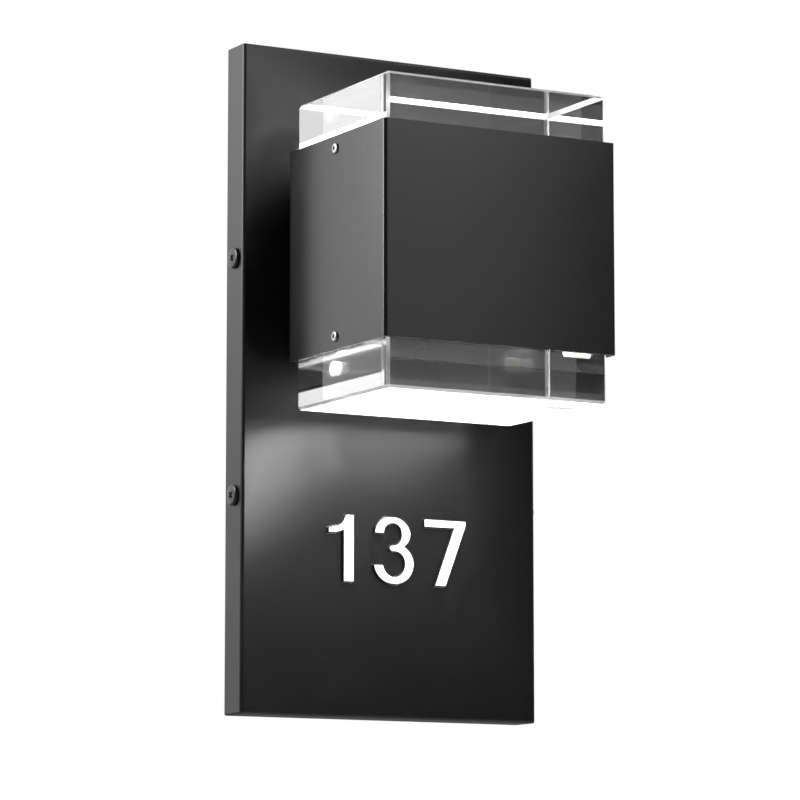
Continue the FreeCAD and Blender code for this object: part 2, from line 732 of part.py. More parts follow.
def neck():
    """The spacer between plate and sleeve, its screws and nuts, and the bushing that the leads pass."""
    half_x = "neck_width / 2"
    body = new_body("neck_block")
    outline = rectangle(body, "XZ_Plane", "neck_outline", "plate_depth",
                        (f"-{half_x}", f"{HEAD_MID_Z} - neck_height / 2"),
                        (half_x, f"{HEAD_MID_Z} + neck_height / 2"))
    gap = "sleeve_back - plate_depth"
    pad(body, "neck_pad", outline, gap)
    ease(body, "neck_corners", "Fillet", "Radius", "neck_corner", lambda edge: runs_along(edge, "y"))
    drill = f"{gap} + 2 * overrun"
    drill_y = f"{PLATE_FACE} + overrun"
    tools = [rod("neck_bore", "bushing_hole", drill, ("0", drill_y, HEAD_MID_Z), "-Y")]
    screws = []
    nuts = []
    for index, (x, z) in enumerate(neck_screw_places()):
        tools.append(rod(f"neck_hole_{index}", "neck_screw_thread + neck_screw_play", drill,
                         (x, drill_y, z), "-Y"))
        stack = f"plate_sheet + {gap} + sleeve_wall + neck_nut_height + neck_screw_rim"
        screws.append(screw(f"neck_screw_{index}", "+Y", (x, PLATE_INSIDE, z), "neck_screw_head",
                            "neck_screw_crown", "neck_screw_rim", "neck_screw_thread", stack))
        nuts.append(nut(f"neck_nut_{index}", "-Y", (x, f"{SLEEVE_REAR} - sleeve_wall", z), "neck_nut_flats",
                        "neck_nut_height", "neck_screw_thread"))
    node(less("neck_drilled", body, tools), "neck_spacer")
    node(group("neck_screw_set", screws), "neck_screws")
    node(group("neck_nut_set", nuts), "neck_nuts")
    barrel = "bushing_hole - 2 * bushing_gap"
    front = f"({SLEEVE_REAR} - sleeve_wall)"
    span = f"({PLATE_INSIDE} - {front})"
    tube = rod("bushing_tube", barrel, f"{span} + 2 * bushing_lip_depth",
               ("0", f"{front} - bushing_lip_depth", HEAD_MID_Z), "+Y")
    flange = f"{barrel} + 2 * bushing_lip"
    lips = [
        rod("bushing_lip_plate", flange, "bushing_lip_depth", ("0", PLATE_INSIDE, HEAD_MID_Z), "+Y"),
        rod("bushing_lip_sleeve", flange, "bushing_lip_depth", ("0", front, HEAD_MID_Z), "-Y"),
    ]
    passage = rod("bushing_passage", f"{barrel} - 2 * bushing_wall",
                  f"{span} + 2 * bushing_lip_depth + 2 * overrun",
                  ("0", f"{front} - bushing_lip_depth - overrun", HEAD_MID_Z), "+Y")
    node(less("bushing", joined("bushing_solid", [tube] + lips), [passage]), "wire_bushing")


# The two ends of the head

ENDS = [("top", SLEEVE_TOP, "-"), ("bottom", "(sleeve_foot)", "+")]


def insert_heights():
    """Heights of the inserts and their screws at the two ends."""
    for end, mouth, inward in ENDS:
        yield end, f"{mouth} {inward} insert_drop"


def span_z(mouth, inward, near, far):
    """Low and high z of a piece that lies between two distances into the sleeve."""
    pair = (f"{mouth} {inward} ({near})", f"{mouth} {inward} ({far})")
    return pair if inward == "+" else (pair[1], pair[0])


def span_y(half):
    """Low and high y of a piece centred in the sleeve."""
    return f"{SLEEVE_MID_Y} - ({half})", f"{SLEEVE_MID_Y} + ({half})"


def clear_block(end, mouth, inward):
    """The clear block, with polished chamfers and a blind hole in each side for its insert."""
    low, high = span_z(mouth, inward, "-block_reach", "block_seat")
    body = new_body(f"{end}_block_body")
    y_low, y_high = span_y(BLOCK_HALF_Y)
    outline = rectangle(body, "XY_Plane", f"{end}_block_outline", low,
                        (f"-{BLOCK_HALF_X}", y_low), (BLOCK_HALF_X, y_high))
    pad(body, f"{end}_block_pad", outline, "block_reach + block_seat")
    ease(body, f"{end}_block_chamfers", "Chamfer", "Size", "block_chamfer", lambda edge: True)
    holes = []
    for side, start, way in (("left", f"-{BLOCK_HALF_X} - overrun", "+X"),
                             ("right", f"{BLOCK_HALF_X} + overrun", "-X")):
        holes.append(rod(f"{end}_insert_hole_{side}", "insert_across", "insert_depth + overrun",
                         (start, SLEEVE_MID_Y, f"{mouth} {inward} insert_drop"), way))
    node(less(f"{end}_block_drilled", body, holes), f"{end}_block")


def block_seal(end, mouth, inward):
    """The silicone bead that fills the gap between block and sleeve at the mouth."""
    z_pair = span_z(mouth, inward, "block_seal_inset", "block_seal_inset + block_seal_height")
    cut_pair = span_z(mouth, inward, "-overrun", "block_seal_inset + block_seal_height + overrun")
    outer_x = f"({BLOCK_HALF_X} + block_gap)"
    outer_y = f"({BLOCK_HALF_Y} + block_gap)"
    bead = box(f"{end}_bead", (f"-{outer_x}", outer_x), span_y(outer_y), z_pair)
    middle = box(f"{end}_bead_middle", (f"-{BLOCK_HALF_X}", BLOCK_HALF_X), span_y(BLOCK_HALF_Y), cut_pair)
    node(less(f"{end}_bead_ring", bead, [middle]), f"{end}_block_seal")


def inserts():
    """Threaded inserts from the blocks' side holes to the sleeve's walls, and the button screws in them."""
    bushes = []
    screws = []
    wall_inside = "(sleeve_width / 2 - sleeve_wall)"
    for end, z in insert_heights():
        for side, sign, way, inward in (("left", "-", "-X", "+X"), ("right", "", "+X", "-X")):
            foot = (f"{sign}{wall_inside}", SLEEVE_MID_Y, z)
            length = "insert_depth + block_gap"
            blank = rod(f"insert_{end}_{side}_blank", "insert_across", length, foot, inward)
            thread = rod(f"insert_{end}_{side}_thread", "block_screw_thread", length, foot, inward)
            bushes.append(less(f"insert_{end}_{side}", blank, [thread]))
            at = (f"{sign}sleeve_width / 2", SLEEVE_MID_Y, z)
            screws.append(screw(f"block_screw_{end}_{side}", way, at, "block_screw_head", "block_screw_crown",
                                "block_screw_rim", "block_screw_thread", "block_screw_length",
                                hex_flats="block_screw_hex"))
    node(group("insert_set", bushes), "block_inserts")
    node(group("block_screw_set", screws), "block_screws")


def light_engine(end, mouth, inward):
    """Tray, board with its chips and opal diffuser behind one block."""
    tray_z = span_z(mouth, inward, TRAY_MOUTH, TRAY_END)
    tray_blank = box(f"{end}_tray_blank", (f"-{BLOCK_HALF_X}", BLOCK_HALF_X), span_y(BLOCK_HALF_Y), tray_z)
    room_z = span_z(mouth, inward, f"{TRAY_MOUTH} - overrun", BOARD_REAR)
    tray_room = box(f"{end}_tray_room", (f"-{BLOCK_HALF_X} + tray_wall", f"{BLOCK_HALF_X} - tray_wall"),
                    span_y(f"{BLOCK_HALF_Y} - tray_wall"), room_z)
    floor_low, floor_high = span_z(mouth, inward, BOARD_REAR, TRAY_END)
    hole_y = f"{SLEEVE_MID_Y} - tray_hole_forward"
    drill = "tray_floor + 2 * overrun"
    drill_z = f"{floor_low} - overrun"
    tools = [tray_room, rod(f"{end}_tray_wire_hole", "tray_hole", drill, ("0", hole_y, drill_z))]
    for index, (x, y) in enumerate(post_places()):
        tools.append(rod(f"{end}_tray_post_hole_{index}", "post_screw_thread", drill, (x, y, drill_z)))
    if end == "bottom":
        for index, x in enumerate(driver_screw_places()):
            tools.append(rod(f"{end}_tray_driver_hole_{index}", "post_screw_thread", drill,
                             (x, SLEEVE_MID_Y, drill_z)))
    node(less(f"{end}_tray_cast", tray_blank, tools), f"{end}_tray")
    board_z = span_z(mouth, inward, f"{BOARD_REAR} - board_sheet", BOARD_REAR)
    node(box(f"{end}_board", (f"-{BOARD_HALF_X}", BOARD_HALF_X), span_y(BOARD_HALF_Y), board_z),
         f"{end}_led_board")
    board_face = f"{BOARD_REAR} - board_sheet"
    chip_z = span_z(mouth, inward, f"{board_face} - chip_height", board_face)
    chips = []
    for across in range(CHIPS_ACROSS):
        for deep in range(CHIPS_DEEP):
            x = f"({across} - {CHIPS_ACROSS - 1} / 2) * 2 * {BOARD_HALF_X} / {CHIPS_ACROSS}"
            y = f"({SLEEVE_MID_Y} + ({deep} - {CHIPS_DEEP - 1} / 2) * 2 * {BOARD_HALF_Y} / {CHIPS_DEEP})"
            chip_x = (f"{x} - chip_width / 2", f"{x} + chip_width / 2")
            chip_y = (f"{y} - chip_depth / 2", f"{y} + chip_depth / 2")
            chips.append(box(f"{end}_chip_{across}_{deep}", chip_x, chip_y, chip_z))
    node(group(f"{end}_chip_set", chips), f"{end}_leds")
    node(box(f"{end}_opal", (f"-{BLOCK_HALF_X}", BLOCK_HALF_X), span_y(BLOCK_HALF_Y),
             span_z(mouth, inward, "block_seat", TRAY_MOUTH)), f"{end}_diffuser")


def post_places():
    """The four posts that tie the two trays together."""
    for x_sign in ("-", ""):
        for y_sign in ("-", "+"):
            yield (f"{x_sign}({BLOCK_HALF_X} - post_inset_across)",
                   f"{SLEEVE_MID_Y} {y_sign} ({BLOCK_HALF_Y} - post_inset_deep)")


def tray_posts():
    """Hexagonal posts between the trays, with a screw through each tray into each end."""
    posts = []
    screws = []
    low = f"(sleeve_foot + {TRAY_END})"
    high = f"({SLEEVE_TOP} - {TRAY_END})"
    for index, (x, y) in enumerate(post_places()):
        blank = hexagon(f"post_{index}_blank", "post_across", f"{high} - {low}", (x, y, low))
        bore = rod(f"post_{index}_bore", "post_screw_thread", f"{high} - {low}", (x, y, low))
        posts.append(less(f"post_{index}", blank, [bore]))
        for end, way, face in (("low", "-Z", f"{low} - tray_floor"), ("high", "+Z", f"{high} + tray_floor")):
            screws.append(screw(f"post_screw_{index}_{end}", way, (x, y, face), "post_screw_head",
                                "post_screw_crown", "post_screw_rim", "post_screw_thread",
                                "post_screw_length"))
    node(group("post_set", posts), "tray_posts")
    node(group("post_screw_set", screws), "post_screws")


def driver_screw_places():
    """The two screws through the driver's ears."""
    for sign in ("-", ""):
        yield f"{sign}({DRIVER_HALF_X} + driver_ear / 2)"


def driver():
    """The potted driver on the lower tray, with an ear and a screw at each end."""
    body = new_body("driver_case")
    outline = rectangle(body, "XY_Plane", "driver_outline", DRIVER_FOOT,
                        (f"-{DRIVER_HALF_X}", DRIVER_FRONT), (DRIVER_HALF_X, DRIVER_REAR))
    pad(body, "driver_pad", outline, f"{DRIVER_TOP} - {DRIVER_FOOT}")
    foot = size(DRIVER_FOOT)
    ease(body, "driver_corners", "Fillet", "Radius", "driver_corner",
         lambda edge: not lies_at(edge, "z", foot))
    reach = f"{DRIVER_HALF_X} + driver_ear"
    ears = box("driver_ears", (f"-({reach})", reach), span_y("driver_ear_depth / 2"),
               (DRIVER_FOOT, f"{DRIVER_FOOT} + driver_ear_sheet"))
    tools = []
    screws = []
    for index, x in enumerate(driver_screw_places()):
        tools.append(rod(f"driver_ear_hole_{index}", "post_screw_thread + driver_ear_play",
                         "driver_ear_sheet + 2 * overrun", (x, SLEEVE_MID_Y, f"{DRIVER_FOOT} - overrun")))
        at = (x, SLEEVE_MID_Y, f"{DRIVER_FOOT} + driver_ear_sheet")
        screws.append(screw(f"driver_screw_{index}", "+Z", at, "post_screw_head", "post_screw_crown",
                            "post_screw_rim", "post_screw_thread", "driver_screw_length"))
    node(less("driver_drilled", joined("driver_solid", [body, ears]), tools), "led_driver")
    node(group("driver_screw_set", screws), "driver_screws")


# Leads from the driver

def driver_leads():
    """Mains leads back to the terminals, and low-voltage leads to the two boards and the number."""
    mains = []
    mains_z = f"({HEAD_MID_Z} - mains_lead_drop)"
    terminal_y = f"({TERMINAL_REAR} - terminal_depth / 2)"
    terminal_top = "terminal_foot + terminal_height"
    for index in range(TERMINALS):
        shift = f"({index} - {TERMINALS - 1} / 2)"
        x = f"{shift} * mains_lead_pitch"
        socket_x = f"{shift} * terminal_pitch"
        points = [
            (x, DRIVER_REAR, mains_z),
            (x, terminal_y, mains_z),
            (socket_x, terminal_y, f"({mains_z} + {terminal_top}) / 2 - mains_lead_pitch"),
            (socket_x, terminal_y, f"{terminal_top} - lead_socket_depth"),
        ]
        mains.append(lead(f"mains_lead_{index}", points, "mains_lead"))
    node(group("mains_lead_set", mains), "supply_leads")
    signals = {"top": [], "bottom": [], "number": []}
    signal_z = f"({HEAD_MID_Z} + signal_lead_rise)"
    hole_y = f"({SLEEVE_MID_Y} - tray_hole_forward)"
    driver_middle = f"({DRIVER_FOOT} + {DRIVER_TOP}) / 2"
    box_top = f"({BOX_MID_Z} + box_height / 2)"
    box_middle_y = f"({PLATE_INSIDE} + box_depth / 2)"
    back_y = "-(lead_wall_gap)"
    for index, sign in enumerate(("-", "")):
        x = f"{sign}signal_lead_pitch / 2"
        top_board = f"({SLEEVE_TOP} - {BOARD_REAR})"
        signals["top"].append(lead(f"top_lead_{index}", [
            (x, SLEEVE_MID_Y, DRIVER_TOP),
            (x, SLEEVE_MID_Y, f"({DRIVER_TOP} + {top_board}) / 2"),
            (x, hole_y, f"({DRIVER_TOP} + {top_board}) / 2"),
            (x, hole_y, top_board),
        ], "signal_lead"))
        signals["bottom"].append(lead(f"bottom_lead_{index}", [
            (x, DRIVER_FRONT, driver_middle),
            (x, hole_y, driver_middle),
            (x, hole_y, f"sleeve_foot + {BOARD_REAR}"),
        ], "signal_lead"))
        signals["number"].append(lead(f"number_lead_{index}", [
            (x, DRIVER_REAR, signal_z),
            (x, back_y, signal_z),
            (x, back_y, f"({box_top} + box_lead_drop)"),
            (x, box_middle_y, box_top),
            (x, box_middle_y, f"{box_top} - box_lead_depth"),
        ], "signal_lead"))
    node(group("top_lead_set", signals["top"]), "top_board_leads")
    node(group("bottom_lead_set", signals["bottom"]), "bottom_board_leads")
    node(group("number_lead_set", signals["number"]), "number_leads")


def terminals():
    """The terminal block on the inside of the pan, with a screw over each wire on both sides."""
    half = "terminal_width / 2"
    top = "(terminal_foot + terminal_height)"
    body = new_body("terminal_body")
    outline = rectangle(body, "XZ_Plane", "terminal_outline", f"-{TERMINAL_REAR}",
                        (f"-{half}", "terminal_foot"), (half, top))
    pad(body, "terminal_pad", outline, "terminal_depth")
    rear = size(TERMINAL_REAR)
    ease(body, "terminal_edges", "Fillet", "Radius", "terminal_corner", lambda edge: lies_at(edge, "y", rear))
    y = f"({TERMINAL_REAR} - terminal_depth / 2)"
    tools = []
    screws = []
    for index in range(TERMINALS):
        x = f"({index} - {TERMINALS - 1} / 2) * terminal_pitch"
        for end, foot in (("upper", f"{top} - lead_socket_depth"), ("lower", "terminal_foot - overrun")):
            tools.append(rod(f"terminal_socket_{end}_{index}", "mains_lead + lead_socket_play",
                             "lead_socket_depth + overrun", (x, y, foot)))
        for end, z in (("upper", f"{top} - terminal_screw_inset"),
                       ("lower", "terminal_foot + terminal_screw_inset")):
            screws.append(rod(f"terminal_screw_{end}_{index}", "terminal_screw", "terminal_screw_crown",
                              (x, TERMINAL_REAR, z), "+Y"))
    node(less("terminal_moulding", body, tools), "terminal_block")
    node(group("terminal_screw_set", screws), "terminal_screws")


# The number

DIGITS = [
    ("one", ONE_SHARES, "-one_left"),
    ("three", THREE_SHARES, "-three_left"),
    ("seven", SEVEN_SHARES, "seven_right"),
]


def digit_outline(name, shares, left, depth):
    """A digit's closed outline, standing upright at a depth from the wall."""
    sketch = doc.addObject("Sketcher::SketchObject", name)
    sketch.Placement = Placement(Vector(), TURNS["-Y"])
    place(sketch, left, depth, "-digit_drop")
    tall = size("digit_height")
    start = Vector(shares[-1][-3], shares[-1][-2]) * tall
    for step in shares:
        end = Vector(step[-3], step[-2]) * tall
        if len(step) == 3:
            sketch.addGeometry(Part.LineSegment(start, end), False)
        else:
            sketch.addGeometry(Part.Arc(start, Vector(step[0], step[1]) * tall, end), False)
        start = end
    return sketch


def extrusion(name, outline, length):
    """An upright outline drawn out towards the wall."""
    solid = doc.addObject("Part::Extrusion", name)
    solid.Base = outline
    solid.DirMode = "Custom"
    solid.Dir = Vector(0, 1, 0)
    solid.Solid = True
    solid.setExpression("LengthFwd", bound(length))
    return solid


def cutout(name, shares, left):
    """The opening in the plate's face that a digit stands in."""
    outline = digit_outline(f"{name}_opening_outline", shares, left, f"{PLATE_FACE} - overrun")
    wider = doc.addObject("Part::Offset2D", f"{name}_opening_edge")
    wider.Source = outline
    wider.setExpression("Value", bound("digit_gap"))
    return extrusion(f"{name}_opening", wider, "plate_sheet + 2 * overrun")


def digits():
    """Opal digits that stand through the plate, with their corners eased."""
    for name, shares, left in DIGITS:
        front = f"{PLATE_FACE} - digit_proud"
        outline = digit_outline(f"{name}_outline", shares, left, front)
        solid = extrusion(f"{name}_slab", outline, "digit_proud + plate_sheet")
        doc.recompute()
        tall = size("digit_height")
        corners = [Vector(size(left) + step[-3] * tall, 0, step[-2] * tall - size("digit_drop"))
                   for step in shares if step[-1]]
        eased = doc.addObject("Part::Fillet", f"{name}_eased")
        eased.Base = solid
        radius = size("digit_corner")
        eased.Edges = [(number, radius, radius) for number, edge in enumerate(solid.Shape.Edges, start=1)
                       if runs_along(edge, "y") and stands_on(edge, corners)]
        node(eased, f"digit_{name}")


def stands_on(edge, corners):
    """Whether an upright edge stands on one of the outline's corners."""
    foot = Vector(edge.Vertexes[0].Point)
    foot.y = 0
    return any(foot.isEqual(corner, SAME) for corner in corners)


def number_box():
    """The light box behind the number: opal sheet, board with chips, white tray, studs and nuts."""
    half_x = BOX_HALF_X
    half_z = "box_height / 2"
    z_pair = (f"{BOX_MID_Z} - {half_z}", f"{BOX_MID_Z} + {half_z}")
    y_pair = (PLATE_INSIDE, BOX_REAR)
    shell = box("box_blank", (f"-{half_x}", half_x), y_pair, z_pair)
    ears = []
    holes = []
    studs = []
    nuts = []
    ear_back = f"({PLATE_INSIDE} + box_ear_sheet)"
    for x_sign, side in (("-", "left"), ("", "right")):
        reach = f"({half_x} + box_ear)"
        x_pair = (f"-{reach}", f"-{half_x}") if x_sign else (half_x, reach)
        for z_sign, end in (("-", "low"), ("+", "high")):
            z = f"({BOX_MID_Z} {z_sign} box_ear_spacing / 2)"
            x = f"{x_sign}({half_x} + box_ear / 2)"
            ears.append(box(f"box_ear_{side}_{end}", x_pair, (PLATE_INSIDE, ear_back),
                            (f"{z} - box_ear_height / 2", f"{z} + box_ear_height / 2")))
            holes.append(rod(f"box_ear_hole_{side}_{end}", "stud_thread + stud_play",
                             "box_ear_sheet + 2 * overrun", (x, f"{PLATE_INSIDE} - overrun", z), "+Y"))
            studs.append(rod(f"stud_{side}_{end}", "stud_thread", "stud_length", (x, PLATE_INSIDE, z), "+Y"))
            nuts.append(nut(f"stud_nut_{side}_{end}", "+Y", (x, ear_back, z), "stud_nut_flats",
                            "stud_nut_height", "stud_thread"))
    inner_x = f"({half_x} - box_wall)"
    inner_z = f"({half_z} - box_wall)"
    room = box("box_room", (f"-{inner_x}", inner_x), (f"{PLATE_INSIDE} - overrun", f"{BOX_REAR} - box_wall"),
               (f"{BOX_MID_Z} - {inner_z}", f"{BOX_MID_Z} + {inner_z}"))
    door = rod("box_lead_door", "box_lead_hole", "box_wall + 2 * overrun",
               ("0", f"({PLATE_INSIDE} + box_depth / 2)", f"{BOX_MID_Z} + {half_z} - box_wall - overrun"))
    node(less("box_moulding", joined("box_solid", [shell] + ears), [room, door] + holes), "number_box")
    node(group("stud_set", studs), "plate_studs")
    node(group("stud_nut_set", nuts), "stud_nuts")
    fit_x = f"({inner_x} - box_play)"
    fit_z = f"({inner_z} - box_play)"
    node(box("number_opal", (f"-{fit_x}", fit_x), (PLATE_INSIDE, f"{PLATE_INSIDE} + diffuser_sheet"),
             (f"{BOX_MID_Z} - {fit_z}", f"{BOX_MID_Z} + {fit_z}")), "number_diffuser")
    board_x = f"({inner_x} - box_board_margin)"
    board_z = f"({inner_z} - box_board_margin)"
    board_face = f"({BOX_REAR} - box_wall - box_board_sheet)"
    node(box("box_board", (f"-{board_x}", board_x), (board_face, f"{BOX_REAR} - box_wall"),
             (f"{BOX_MID_Z} - {board_z}", f"{BOX_MID_Z} + {board_z}")), "number_led_board")
    chips = []
    for column in range(BOX_CHIPS):
        for row_sign, end in (("-", "low"), ("+", "high")):
            x = f"({column} - {BOX_CHIPS - 1} / 2) * 2 * {board_x} / {BOX_CHIPS}"
            z = f"({BOX_MID_Z} {row_sign} box_chip_rows / 2)"
            chips.append(box(f"box_chip_{end}_{column}", (f"{x} - chip_width / 2", f"{x} + chip_width / 2"),
                             (f"{board_face} - chip_height", board_face),
                             (f"{z} - chip_depth / 2", f"{z} + chip_depth / 2")))
    node(group("box_chip_set", chips), "number_leds")


def check_and_write():
    """Refuse a failed object or piece, then write each piece to its own file."""
    doc.recompute()
    for thing in doc.Objects:
        if any(state in ("Invalid", "Error") for state in thing.State):
            raise RuntimeError(f"{thing.Name} failed: {thing.State}")
    os.makedirs("parts", exist_ok=True)
    for solid in NODES:
        shape = solid.Shape
        if shape.isNull() or not shape.isValid() or not shape.Solids:
            raise RuntimeError(f"{solid.Label} has no valid solid")
        shape.exportStep(f"parts/{solid.Label}.step")
        print(f"{solid.Label}: {len(shape.Solids)} solids, {shape.Volume:.1f} mm3")


back_plate()
wall_seal()
wall_bracket()
side_screws()
earth_point()
head_sleeve()
neck()
for end_name, end_mouth, end_inward in ENDS:
    clear_block(end_name, end_mouth, end_inward)
    block_seal(end_name, end_mouth, end_inward)
    light_engine(end_name, end_mouth, end_inward)
inserts()
tray_posts()
driver()
terminals()
driver_leads()
digits()
number_box()
check_and_write()
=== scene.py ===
import json
import math

import bmesh
import bpy
from mathutils import Matrix, Vector


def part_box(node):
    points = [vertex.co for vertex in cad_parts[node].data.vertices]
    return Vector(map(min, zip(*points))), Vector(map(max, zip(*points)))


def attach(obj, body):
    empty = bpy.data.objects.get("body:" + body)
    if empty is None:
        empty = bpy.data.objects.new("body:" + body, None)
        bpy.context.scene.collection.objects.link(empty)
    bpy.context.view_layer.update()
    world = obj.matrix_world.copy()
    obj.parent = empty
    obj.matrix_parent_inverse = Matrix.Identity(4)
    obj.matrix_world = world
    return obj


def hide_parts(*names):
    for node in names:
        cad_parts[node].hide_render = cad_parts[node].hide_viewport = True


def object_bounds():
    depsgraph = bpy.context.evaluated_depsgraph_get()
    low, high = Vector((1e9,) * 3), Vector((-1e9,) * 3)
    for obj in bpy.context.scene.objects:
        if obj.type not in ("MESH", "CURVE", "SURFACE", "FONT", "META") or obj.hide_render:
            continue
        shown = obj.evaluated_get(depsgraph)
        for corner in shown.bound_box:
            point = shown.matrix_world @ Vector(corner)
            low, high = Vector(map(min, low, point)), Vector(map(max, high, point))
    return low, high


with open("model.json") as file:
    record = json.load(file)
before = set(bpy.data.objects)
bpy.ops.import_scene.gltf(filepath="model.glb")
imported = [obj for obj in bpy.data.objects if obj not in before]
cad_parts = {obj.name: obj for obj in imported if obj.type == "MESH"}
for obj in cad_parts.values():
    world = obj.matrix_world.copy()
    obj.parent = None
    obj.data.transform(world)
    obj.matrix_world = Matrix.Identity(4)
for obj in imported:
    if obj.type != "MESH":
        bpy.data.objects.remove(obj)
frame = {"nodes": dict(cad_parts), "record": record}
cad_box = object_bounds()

# A room number wall light, laid out as an add-on.
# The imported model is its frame, and each operator dresses one group of pieces.

bl_info = {
    "name": "Room Number Wall Light",
    "version": (1, 0, 0),
    "blender": (4, 5, 0),
    "location": "3D View > Sidebar > Wall Light",
    "description": "Dresses a wall light with a lit room number and two clear blocks",
    "category": "Object",
}

MM = 0.001
SLOT_OF = {part["node"]: part["material_slot"] for part in frame["record"]["subparts"]}
BODY_OF = {node: body for body, nodes in frame["record"]["behaviour"]["bodies"].items() for node in nodes}
SIDE_SCREWS = sorted(node for node in SLOT_OF if node.startswith("side_screw_"))
ENDS = ("top", "bottom")
MERGED = 0.001 * MM
FLAT_ANGLE = math.radians(0.5)
SHARP_ANGLE = math.radians(32)
BEVEL_ANGLE = math.radians(40)
SPIN_STEPS = 48
THREAD_STEPS = 24

# Softboxes: name, middle, the point that each faces, width, height and power, in metres and watts.
SOFTBOXES = (
    ("high_softbox", (0.225, -0.60, 0.50), (-0.02, -0.05, 0.10), 0.35, 0.44, 2.3),
    ("front_softbox", (0.28, -0.75, 0.19), (0.00, -0.11, 0.05), 0.26, 0.30, 0.28),
    ("left_softbox", (-0.50, 0.20, 0.26), (-0.06, -0.10, 0.08), 0.25, 0.30, 3.4),
    ("right_softbox", (0.70, 0.20, 0.10), (0.06, 0.00, 0.05), 0.40, 0.50, 1.6),
    ("top_softbox", (0.00, 0.20, 0.75), (0.00, 0.00, 0.10), 0.40, 0.40, 1.6),
)


def linear(hex_text):
    """Turn an sRGB hex value into the linear colour that Blender's sockets hold."""
    channels = [int(hex_text[start:start + 2], 16) / 255 for start in (1, 3, 5)]
    return tuple(c / 12.92 if c <= 0.04045 else ((c + 0.055) / 1.055) ** 2.4 for c in channels)


# Sizes and colours

def length(name, description, millimetres):
    """A length that is written in millimetres and kept in metres."""
    return bpy.props.FloatProperty(name=name, description=description, default=millimetres * MM,
                                   min=0.0, precision=5, unit="LENGTH")


def colour(name, description, hex_text):
    """A colour that is written as an sRGB hex value."""
    return bpy.props.FloatVectorProperty(name=name, description=description, default=linear(hex_text),
                                         size=3, min=0.0, max=1.0, subtype="COLOR")


def amount(name, description, value):
    """A plain number, zero or more."""
    return bpy.props.FloatProperty(name=name, description=description, default=value, min=0.0)


def angle(name, description, degrees):
    """An angle that is written in degrees and kept in radians."""
    return bpy.props.FloatProperty(name=name, description=description, default=math.radians(degrees),
                                   subtype="ANGLE")


class WallLightSizes(bpy.types.PropertyGroup):
    edge_round: length("Edge rounding", "Coated or deburred edge of a metal sheet", 0.25)
    moulded_round: length("Moulded edge", "Rounding of a moulded plastic edge", 0.35)
    digit_round: length("Digit edge", "Rounding of the digits' front edges", 0.45)
    block_chamfer: length("Block chamfer", "Milled chamfer along every edge of a clear block", 1.3)
    block_air: length("Air gap", "Air between a clear block and what it rests on", 0.06)
    insert_across: length("Insert hole", "Diameter of the blind hole in a block's side", 6.6)
    insert_depth: length("Insert depth", "Depth of the blind hole in a block's side", 6.4)
    side_head: length("Side screw head", "Diameter of the side screws' heads", 9.5)
    side_crown: length("Side screw crown", "Height of the side screws' heads", 1.8)
    side_thread: length("Side screw thread", "Thread diameter of the side screws", 4.0)
    side_pitch: length("Side screw pitch", "Thread pitch of the side screws", 0.7)
    cross_span: length("Cross recess", "Width of the side screws' cross recess", 4.6)
    cross_arm: length("Cross recess arm", "Width of one arm of the cross recess", 1.4)
    cross_turn: angle("Cross recess turn", "How far the side screws are driven round", 40.0)
    small_head: length("Button screw head", "Diameter of the button screws' heads", 4.7)
    small_crown: length("Button screw crown", "Height of the button screws' heads", 1.0)
    small_thread: length("Button screw thread", "Thread diameter of the button screws", 2.5)
    small_pitch: length("Button screw pitch", "Thread pitch of the button screws", 0.45)
    small_shank: length("Button screw length", "Length of the button screws under their heads", 6.5)
    small_hex: length("Hex socket", "Width across the flats of the button screws' sockets", 1.8)
    coat_grain: length("Orange peel", "Spacing of the powder coat's orange peel, drawn a little coarse", 1.1)


class WallLightColours(bpy.types.PropertyGroup):
    coat: colour("Powder coat", "Satin black of the plate and the head", "#121213")
    acrylic: colour("Clear acrylic", "Tint of the clear blocks", "#FFFFFF")
    glow: colour("Lit opal", "Light of the opal sheets and the digits", "#FFFFFF")
    zinc: colour("Zinc plate", "Zinc-plated steel", "#B4B6B4")
    stainless: colour("Stainless steel", "Plain stainless steel", "#BCBCBA")
    black_steel: colour("Black paint", "Painted heads of the side screws", "#0B0B0C")
    nylon: colour("White nylon", "Natural nylon of the inserts", "#E9E9E4")
    cream: colour("White moulding", "Moulded white plastic", "#DEDED8")
    earth: colour("Earth green", "Green of the earth lead and screw", "#1F7A38")
    lead: colour("Lead insulation", "Black insulation of the leads", "#161617")
    foam: colour("Foam", "Closed-cell foam seal", "#1A1A1B")
    floor: colour("Floor", "Pale studio floor", "#E8E8E8")


class WallLightStage(bpy.types.PropertyGroup):
    head_glow: amount("Head light", "Strength of the light behind the blocks", 22.0)
    digit_glow: amount("Number light", "Strength of the lit digits", 0.82)
    # Painted glow: the walls of the insert holes in the clear blocks give off this light, though they are no
    # lamp.
    insert_painted_glow: amount("Insert light", "Light that the nylon inserts pass on", 0.75)
    room_front: amount("Room before", "Brightness of the studio before the light", 0.08)
    room_back: amount("Room behind", "Brightness of the studio behind the light", 1.5)
    floor_white: amount("Floor white", "Share of plain white in the floor where it is seen directly", 0.85)
    lens: bpy.props.FloatProperty(name="Lens", description="Focal length on a 36 mm sensor",
                                  default=178.184, unit="CAMERA")
    distance: length("Distance", "From the camera to the point it looks at", 1834.65)
    yaw: angle("Yaw", "How far the camera stands to the left of the front", 28.8557)
    pitch: angle("Pitch", "How far the camera looks up", 8.0178)
    roll: angle("Roll", "Tilt of the camera about its own line of sight", -0.0119)
    target: bpy.props.FloatVectorProperty(name="Target", description="The point that the camera looks at",
                                          default=(13.533 * MM, 0.0, -3.708 * MM), size=3, unit="LENGTH")
    floor_drop: length("Floor", "How far the floor lies below the light", 420.0)


# Materials

